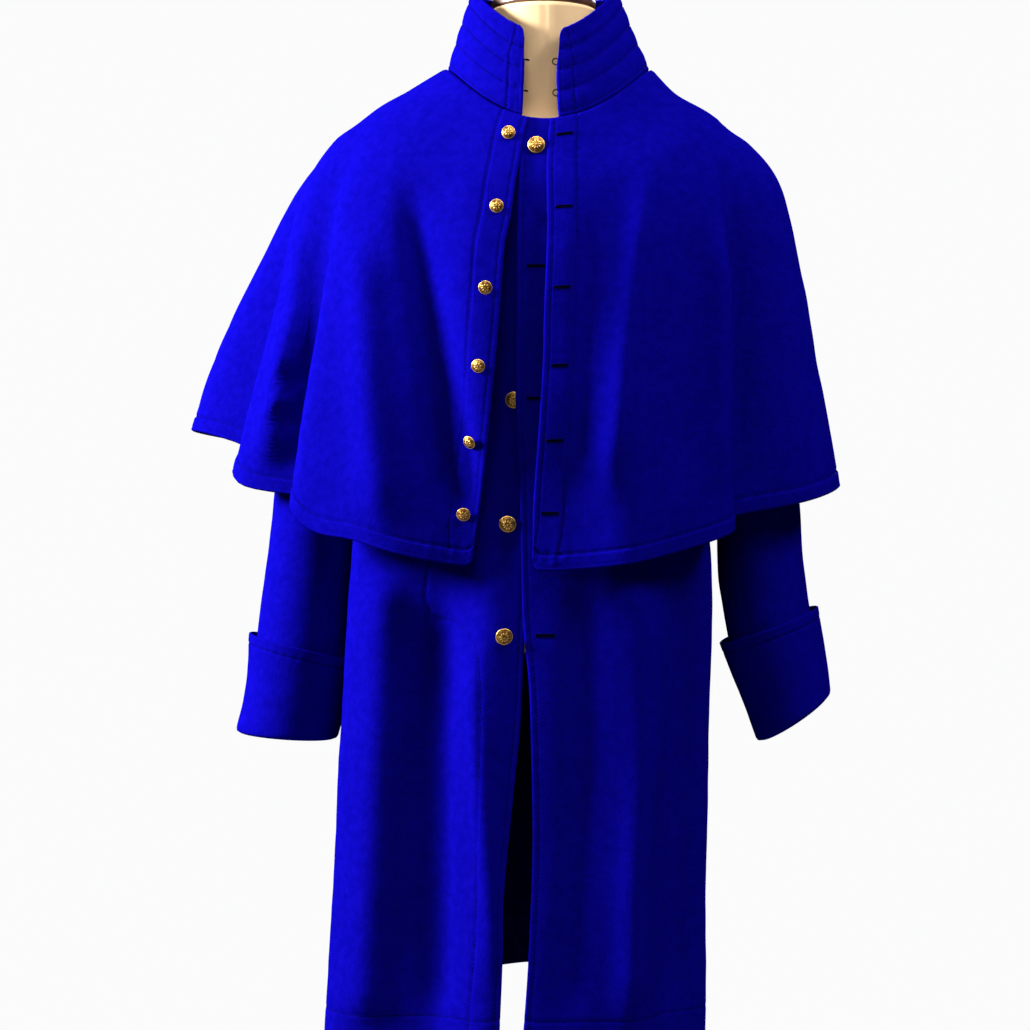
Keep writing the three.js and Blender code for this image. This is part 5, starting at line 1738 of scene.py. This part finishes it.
@dataclass
class Collar:
    """The tall standing collar, stitched in rows, with its hooks and eyes."""

    flat: tuple[float, float]
    corner: float = 10.0

    def grid(self) -> Drape:
        """The outer face before the stitching draws it in, from the right front edge round the back."""
        ats = np.linspace(0, COLLAR_TALL, 66)
        right = COLLAR.angle_at_x(COLLAR_EDGE[Side.RIGHT].x(ats), ats)
        left = COLLAR.angle_at_x(COLLAR_EDGE[Side.LEFT].x(ats), ats) - 360
        d = np.concatenate([
            np.arange(0, 26, 1.3), np.linspace(26, COLLAR_LONG - 26, 160)[:-1],
            COLLAR_LONG - np.arange(0, 26.1, 1.3)[::-1]])
        share = d / COLLAR_LONG
        angles = right[:, None] + (left - right)[:, None] * share[None, :]
        inward = np.minimum(d, COLLAR_LONG - d)
        cut = corner_cut(inward, self.corner)
        rows = ats[:, None] - cut[None, :] * ease(COLLAR_TALL - 45, COLLAR_TALL, ats)[:, None]
        points = COLLAR.point(angles, rows)
        return Drape(points, facing_of(points, False, COLLAR.normal(angles, rows)))

    def build(self, wardrobe: Wardrobe) -> bpy.types.Object:
        """Makes the collar and its rows of stitches."""
        base = self.grid()
        relief = np.zeros(base.low.shape)
        edges = (0.0, *COLLAR_STITCHES, COLLAR_TALL)
        for low, high in zip(edges[:-1], edges[1:]):
            t = np.clip((base.low - low) / (high - low), 0, 1)
            relief += 0.9 * np.sin(math.pi * t) ** 2 * min(1.0, (high - low) / 24)
        for at in COLLAR_STITCHES:
            relief -= 1.0 * dip(base.low, at, 1.7)
            relief += 0.32 * np.sin(base.first * 2 * math.pi / 10.5 + at) * dip(base.low, at, 6)
        for side in (base.first, base.last):
            relief -= 1.0 * dip(side, COLLAR_END_STITCH, 1.7)
            relief -= 0.4 * dip(side, 3.2, 1.2)
        relief -= 0.9 * dip(base.low, 0, 2.2)
        soft = wander(base.points, 70.0, 31.0) * 0.55 * ease(0, 20, base.low)
        outer = base.moved(relief + soft)
        inner = base.points + base.facing * (soft * 0.5 - COLLAR_THICK)[..., None]
        worn = np.maximum(dip(base.high, 0, 2.5), np.maximum(dip(base.first, 0, 2), dip(base.last, 0, 2)))
        obj = wardrobe.cloth("collar_cloth", shell(outer.points, inner, outer.facing, worn=worn), "collar")
        log.info("collar: %.4f square metres", base.area())
        sewn = []
        for at in COLLAR_STITCHES:
            sewn += stitches(*outer.line_across(at, True), 4, 4)
        for first in (True, False):
            sewn += stitches(*outer.line_down(COLLAR_END_STITCH, first), 4, 4)
        extra = wardrobe.sewing("collar_stitches", sewn, THREAD_AND_GROOVE_SHADE)
        self.fasten(wardrobe)
        return obj

    def fasten(self, wardrobe: Wardrobe) -> None:
        """Two wire hooks at the right front edge and two eyes at the left one."""
        metal = wardrobe.palette.metal(WIRE)
        for k, at in enumerate(FASTENER_HEIGHTS):
            for side in Side:
                x = COLLAR_EDGE[side].x(at)
                angle = COLLAR.angle_at_x(x, np.float64(at))
                facing = COLLAR.normal(angle, at)
                here = COLLAR.point(angle, at)
                past = unit(COLLAR.point(angle - side.sign, at) - here)
                lie = here - facing * (COLLAR_THICK + WIRE_RADIUS + SEAM + 0.3)
                if side is Side.RIGHT:
                    knots = np.array(((-9, 0), (3, 0), (6.2, 0.7), (6.6, 2.6), (3.4, 3.1)))
                    t = np.linspace(0, 4, 34)
                    reach = curve(range(5), knots[:, 0], t)
                    out = curve(range(5), knots[:, 1], t)
                    path = lie + reach[:, None] * past + out[:, None] * facing
                    built = tube(path, np.full(len(t), WIRE_RADIUS), 12)
                    name = f"collar_hook_{k + 1}"
                else:
                    turns = np.linspace(0, 2 * math.pi, 40, endpoint=False)
                    up = np.cross(facing, past)
                    centre = lie + past * (EYE_RADIUS - 1.5)
                    ring = centre + EYE_RADIUS * (np.cos(turns)[:, None] * past + np.sin(turns)[:, None] * up)
                    built = tube(ring, np.full(40, WIRE_RADIUS), 10, closed=True)
                    name = f"collar_eye_{k + 1}"
                obj = to_object(f"{name}_wire", built, [metal])
                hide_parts(name)


@dataclass(frozen=True)
class ButtonSize:
    """A domed shank button."""

    radius: float
    dome: float
    petals: int


COAT_BUTTON = ButtonSize(10.0, 4.6, 10)
CAPE_BUTTON = ButtonSize(8.0, 3.8, 8)
CAPE_BUTTON_Z = (1447.0, 1356.0, 1261.0, 1171.0, 1085.0, 1002.0)
COAT_BUTTON_PLACES = ((1432.0, -10.0), (1287.0, -22.0), (1134.0, -36.0), (991.0, -43.0), (862.0, -48.0))
COAT_HOLE_Z = (1287.0, 1134.0, 991.0, 862.0)
CAPE_BUTTON_IN = 17.0


@dataclass
class Buttons:
    """Five brass buttons down the coat and six down the cape."""

    sides: int = 72

    def shape(self, size: ButtonSize) -> Built:
        """A domed button with a rim, a beaded ring and a plain rosette."""
        shank, long = 1.8, 3.6
        radii = np.linspace(1.0, 0.0, 22)
        dome = [(size.radius * r, long + 0.9 + size.dome * 0.8 * (1 - r**2)) for r in radii]
        profile = [(0, 0), (shank * 0.6, 0), (shank, 0.4), (shank, long - 0.4), (shank + 0.6, long),
                   (size.radius * 0.6, long + 0.05), (size.radius * 0.96, long + 0.35), *dome]

        def relief(r: Array, turn: Array) -> Array:
            """Raises the rim, the ring and the rosette's petals on the face alone."""
            share = r / size.radius
            rim = 0.45 * np.exp(-(((share - 0.95) / 0.05) ** 2))
            beads = 0.6 + 0.4 * np.cos(turn * size.petals * 4)
            ring = 0.28 * np.exp(-(((share - 0.74) / 0.05) ** 2)) * beads
            petals = 0.5 * (0.5 + 0.5 * np.cos(turn * size.petals)) * np.exp(-(((share - 0.42) / 0.17) ** 2))
            middle = 0.4 * np.exp(-((share / 0.13) ** 2))
            on_face = np.zeros_like(share)
            on_face[6:] = 1.0
            return (rim + ring + petals + middle) * on_face

        return revolve(profile, self.sides, relief)

    def place(self, built: Built, sheet: Sheet, angle: Array, at: Array) -> Built:
        """Seats a button on the cloth, hanging down a little on its shank."""
        facing = sheet.normal(angle, at)
        clear = 1.8 * math.sin(math.radians(BUTTON_DROOP)) + 0.45
        foot = sheet.point(angle, at) + facing * clear
        turn = np.array(Matrix.Rotation(math.radians(BUTTON_DROOP), 3, "X"))
        return placed(built, foot, turn @ facing)

    def build(self, wardrobe: Wardrobe) -> None:
        """Makes every button."""
        metal = wardrobe.palette.metal(BRASS)
        for k, (z, x) in enumerate(COAT_BUTTON_PLACES):
            sheet = COAT_OVER if k == 0 else COAT
            angle, at = sheet.locate(0, np.float64(x), np.float64(z), np.float64(-5), np.float64(z - 392))
            self._add(f"coat_button_{k + 1}", self.place(self.shape(COAT_BUTTON), sheet, angle, at), metal)
        for k, z in enumerate(CAPE_BUTTON_Z):
            x = CAPE_EDGE[Side.RIGHT].x(z) - CAPE_BUTTON_IN
            angle, at = CAPE.locate(0, np.float64(x), np.float64(z), np.float64(-20), np.float64(1480 - z))
            self._add(f"cape_button_{k + 1}", self.place(self.shape(CAPE_BUTTON), CAPE, angle, at), metal)

    @staticmethod
    def _add(node: str, built: Built, metal: bpy.types.Material) -> None:
        """Makes one button in place of its CAD node."""
        obj = to_object(f"{node}_brass", built, [metal])
        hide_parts(node)


@dataclass
class DressForm:
    """The limbless form, its neck cap and its stand."""

    columns: int = 112

    def torso(self, wardrobe: Wardrobe) -> None:
        """The padded torso under its linen cover, closed at both ends."""
        ats = np.concatenate([np.linspace(0, 740, 150), np.linspace(742, 810, 26)])
        angles = np.arange(self.columns) * 360.0 / self.columns
        points = FORM.point(angles[None, :], ats[:, None])
        radial = np.stack([points[..., 0], points[..., 1], 0 * points[..., 2]], -1)
        facing = facing_of(points, True, radial)
        seam = np.minimum(np.abs(turned(angles)), np.abs(turned(angles - 180)))
        shown = 1 - ease(500, 540, ats) + ease(740, 760, ats)
        sink = 0.8 * np.exp(-((seam / 1.6) ** 2))[None, :] * shown[:, None]
        points = points - facing * sink[..., None]
        rows, cols = points.shape[:2]
        flat = points.reshape(-1, 3)
        flat = np.concatenate([flat, [[0, 0, points[0, 0, 2]], [0, 0, points[-1, 0, 2]]]])
        faces = bands(rows, cols) + caps(rows, cols)
        obj = to_object("form_torso_linen", Built(flat, faces), [wardrobe.palette.thread(LINEN)])
        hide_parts("form_torso")

    def turned_piece(self, wardrobe: Wardrobe, node: str, pairs: Sequence[tuple[float, float]], bend: float,
                     slot: str) -> None:
        """A turned piece of the stand in place of its CAD node."""
        material = wardrobe.palette.timber(TIMBER) if slot == "timber" else wardrobe.palette.metal(IRON)
        built = revolve(rounded(pairs, bend), 96)
        obj = to_object(f"{node}_{slot}", built, [material])
        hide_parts(node)

    def build(self, wardrobe: Wardrobe) -> None:
        """Makes the torso, the cap, the pole and the base."""
        self.torso(wardrobe)
        top = 1615.3
        self.turned_piece(wardrobe, "form_neck_cap", (
            (0, top), (62, top), (64, top + 3), (64, top + 12), (59, top + 16), (9, top + 16),
            (7.5, top + 21), (15, top + 30), (12, top + 40), (0, top + 45)), 2.2, "timber")
        self.turned_piece(wardrobe, "stand_pole", (
            (0, 60.3), (14, 60.3), (14, 821.7), (26, 821.7), (26, 837.7), (0, 837.7)), 1.2, "iron")
        self.turned_piece(wardrobe, "stand_base", (
            (0, 0), (197, 0), (200, 3), (200, 10), (192, 15), (64, 22), (34, 32), (26, 60), (0, 60)),
            2.0, "iron")


@dataclass(frozen=True)
class Lamp:
    """A square soft light that faces a target, with its power in watts and its side in metres."""

    name: str
    place: Colour
    target: Colour
    power: float
    size: float


LAMPS = (
    Lamp("key", (-2.55, -0.42, 2.08), (0.0, -0.1, 1.1), 400.0, 0.7),
    Lamp("top", (0.0, -0.55, 3.66), (0.0, -0.1, 1.1), 62.0, 1.2),
    Lamp("front", (-0.45, -2.60, 3.10), (0.0, -0.1, 1.1), 25.0, 1.2),
    Lamp("right", (2.0, -1.00, 3.2), (0.0, -0.1, 1.1), 80.0, 0.8),
    Lamp("back", (1.2, 3.0, 2.4), (0.0, 0.0, 1.1), 150.0, 1.6),
)


class Studio:
    """The camera, the soft light and the pale floor."""

    def camera(self) -> None:
        """Looks level at the coat from the front, as the photograph does."""
        data = bpy.data.cameras.new("camera")
        data.sensor_width = 36.0
        data.lens = CAMERA_LENS
        data.clip_start = 0.05
        data.clip_end = 60.0
        camera = bpy.data.objects.new("camera", data)
        camera.location = CAMERA_PLACE
        camera.rotation_euler = (math.pi / 2, 0.0, 0.0)
        bpy.context.scene.collection.objects.link(camera)
        bpy.context.scene.camera = camera

    def light(self, lamp: Lamp) -> None:
        """Sets up one lamp."""
        data = bpy.data.lights.new(lamp.name, "AREA")
        data.energy = lamp.power
        data.size = lamp.size
        light = bpy.data.objects.new(lamp.name, data)
        light.location = lamp.place
        way = Vector(lamp.target) - Vector(lamp.place)
        light.rotation_euler = way.to_track_quat("-Z", "Y").to_euler()
        bpy.context.scene.collection.objects.link(light)

    def world(self) -> None:
        """A dim even room that looks white behind the coat."""
        world = bpy.data.worlds.new("room")
        world.use_nodes = True
        tree = world.node_tree
        tree.nodes.clear()
        g = Graph(tree)
        seen = g.add("ShaderNodeBackground")
        seen.inputs["Color"].default_value = (0.965, 0.966, 0.967, 1.0)
        seen.inputs["Strength"].default_value = 1.0
        light = g.add("ShaderNodeBackground")
        light.inputs["Color"].default_value = (0.95, 0.97, 1.0, 1.0)
        light.inputs["Strength"].default_value = 0.09
        ray = g.add("ShaderNodeLightPath")
        mix = g.add("ShaderNodeMixShader")
        out = g.add("ShaderNodeOutputWorld")
        g.join(ray.outputs["Is Camera Ray"], mix.inputs[0])
        g.join(light.outputs[0], mix.inputs[1])
        g.join(seen.outputs[0], mix.inputs[2])
        g.join(mix.outputs[0], out.inputs[0])
        bpy.context.scene.world = world

    def floor(self) -> None:
        """A round pale floor that fades out at its rim."""
        sides, rings = FLOOR_SIDES, FLOOR_RINGS
        turns = np.arange(sides) * 2 * math.pi / sides
        points = [[0.0, 0.0, 0.0]]
        for k in range(1, rings + 1):
            r = FLOOR_RADIUS * k / rings
            points += [[r * math.cos(t), r * math.sin(t), 0.0] for t in turns]
        faces = [[0, 1 + j, 1 + (j + 1) % sides] for j in range(sides)]
        for k in range(rings - 1):
            for j in range(sides):
                a, b = 1 + k * sides + j, 1 + k * sides + (j + 1) % sides
                faces.append([a, a + sides, b + sides, b])
        mesh = bpy.data.meshes.new("floor")
        mesh.from_pydata((np.array(points) * MM).tolist(), [], faces)
        material = bpy.data.materials.new("floor")
        material.use_nodes = True
        g = Graph(material.node_tree)
        shader = material.node_tree.nodes["Principled BSDF"]
        shader.inputs["Base Color"].default_value = (0.24, 0.245, 0.25, 1.0)
        shader.inputs["Roughness"].default_value = 0.8
        place = g.add("ShaderNodeTexCoord").outputs["Object"]
        far = g.add("ShaderNodeVectorMath", operation="LENGTH")
        g.join(place, far.inputs[0])
        shown = g.math("SUBTRACT", 1.0, g.ramp(far.outputs["Value"], *FLOOR_FADE))
        g.join(shown, shader.inputs["Alpha"])
        mesh.materials.append(material)
        obj = bpy.data.objects.new("floor", mesh)
        bpy.context.scene.collection.objects.link(obj)

    def build(self) -> None:
        """Makes the room."""
        self.camera()
        for lamp in LAMPS:
            self.light(lamp)
        self.world()
        self.floor()
        scene = bpy.context.scene
        scene.view_settings.view_transform = "Standard"
        scene.view_settings.look = "None"


FACING_LINE = (
    (-135.0, 960.0), (-140.0, 905.0), (-134.0, 884.0), (-110.0, 878.0), (-88.0, 862.0), (-76.0, 836.0),
    (-73.0, 800.0), (-73.0, 741.0), (-76.0, 650.0), (-78.0, 569.0), (-83.0, 490.0), (-90.0, 405.0),
)


def main() -> None:
    """Builds every piece in order and notes the sizes."""
    Studio().build()
    wardrobe = Wardrobe(Palette())
    DressForm().build(wardrobe)
    for side in Side:
        left = side is Side.LEFT
        BodyPanel(side, True, (0.52, 1.2), 0.43,
                  SKIRT_CREASES[side], () if left else FACING_LINE, 44.0 if left else 118.0).build(wardrobe)
        BodyPanel(side, False, (0.34, 1.2), 0.30).build(wardrobe)
    for side in Side:
        Sleeve(side, (0.32, 0.68), 0.172, (0.15, 0.58), 0.07, (0.40, 0.12)).build(wardrobe)
    for side in Side:
        Cape(side, (0.9, 0.62), 0.445, CAPE_CREASES[side]).build(wardrobe)
    Collar((0.64, 0.1)).build(wardrobe)
    Buttons().build(wardrobe)


if __name__ == "__main__":
    main()
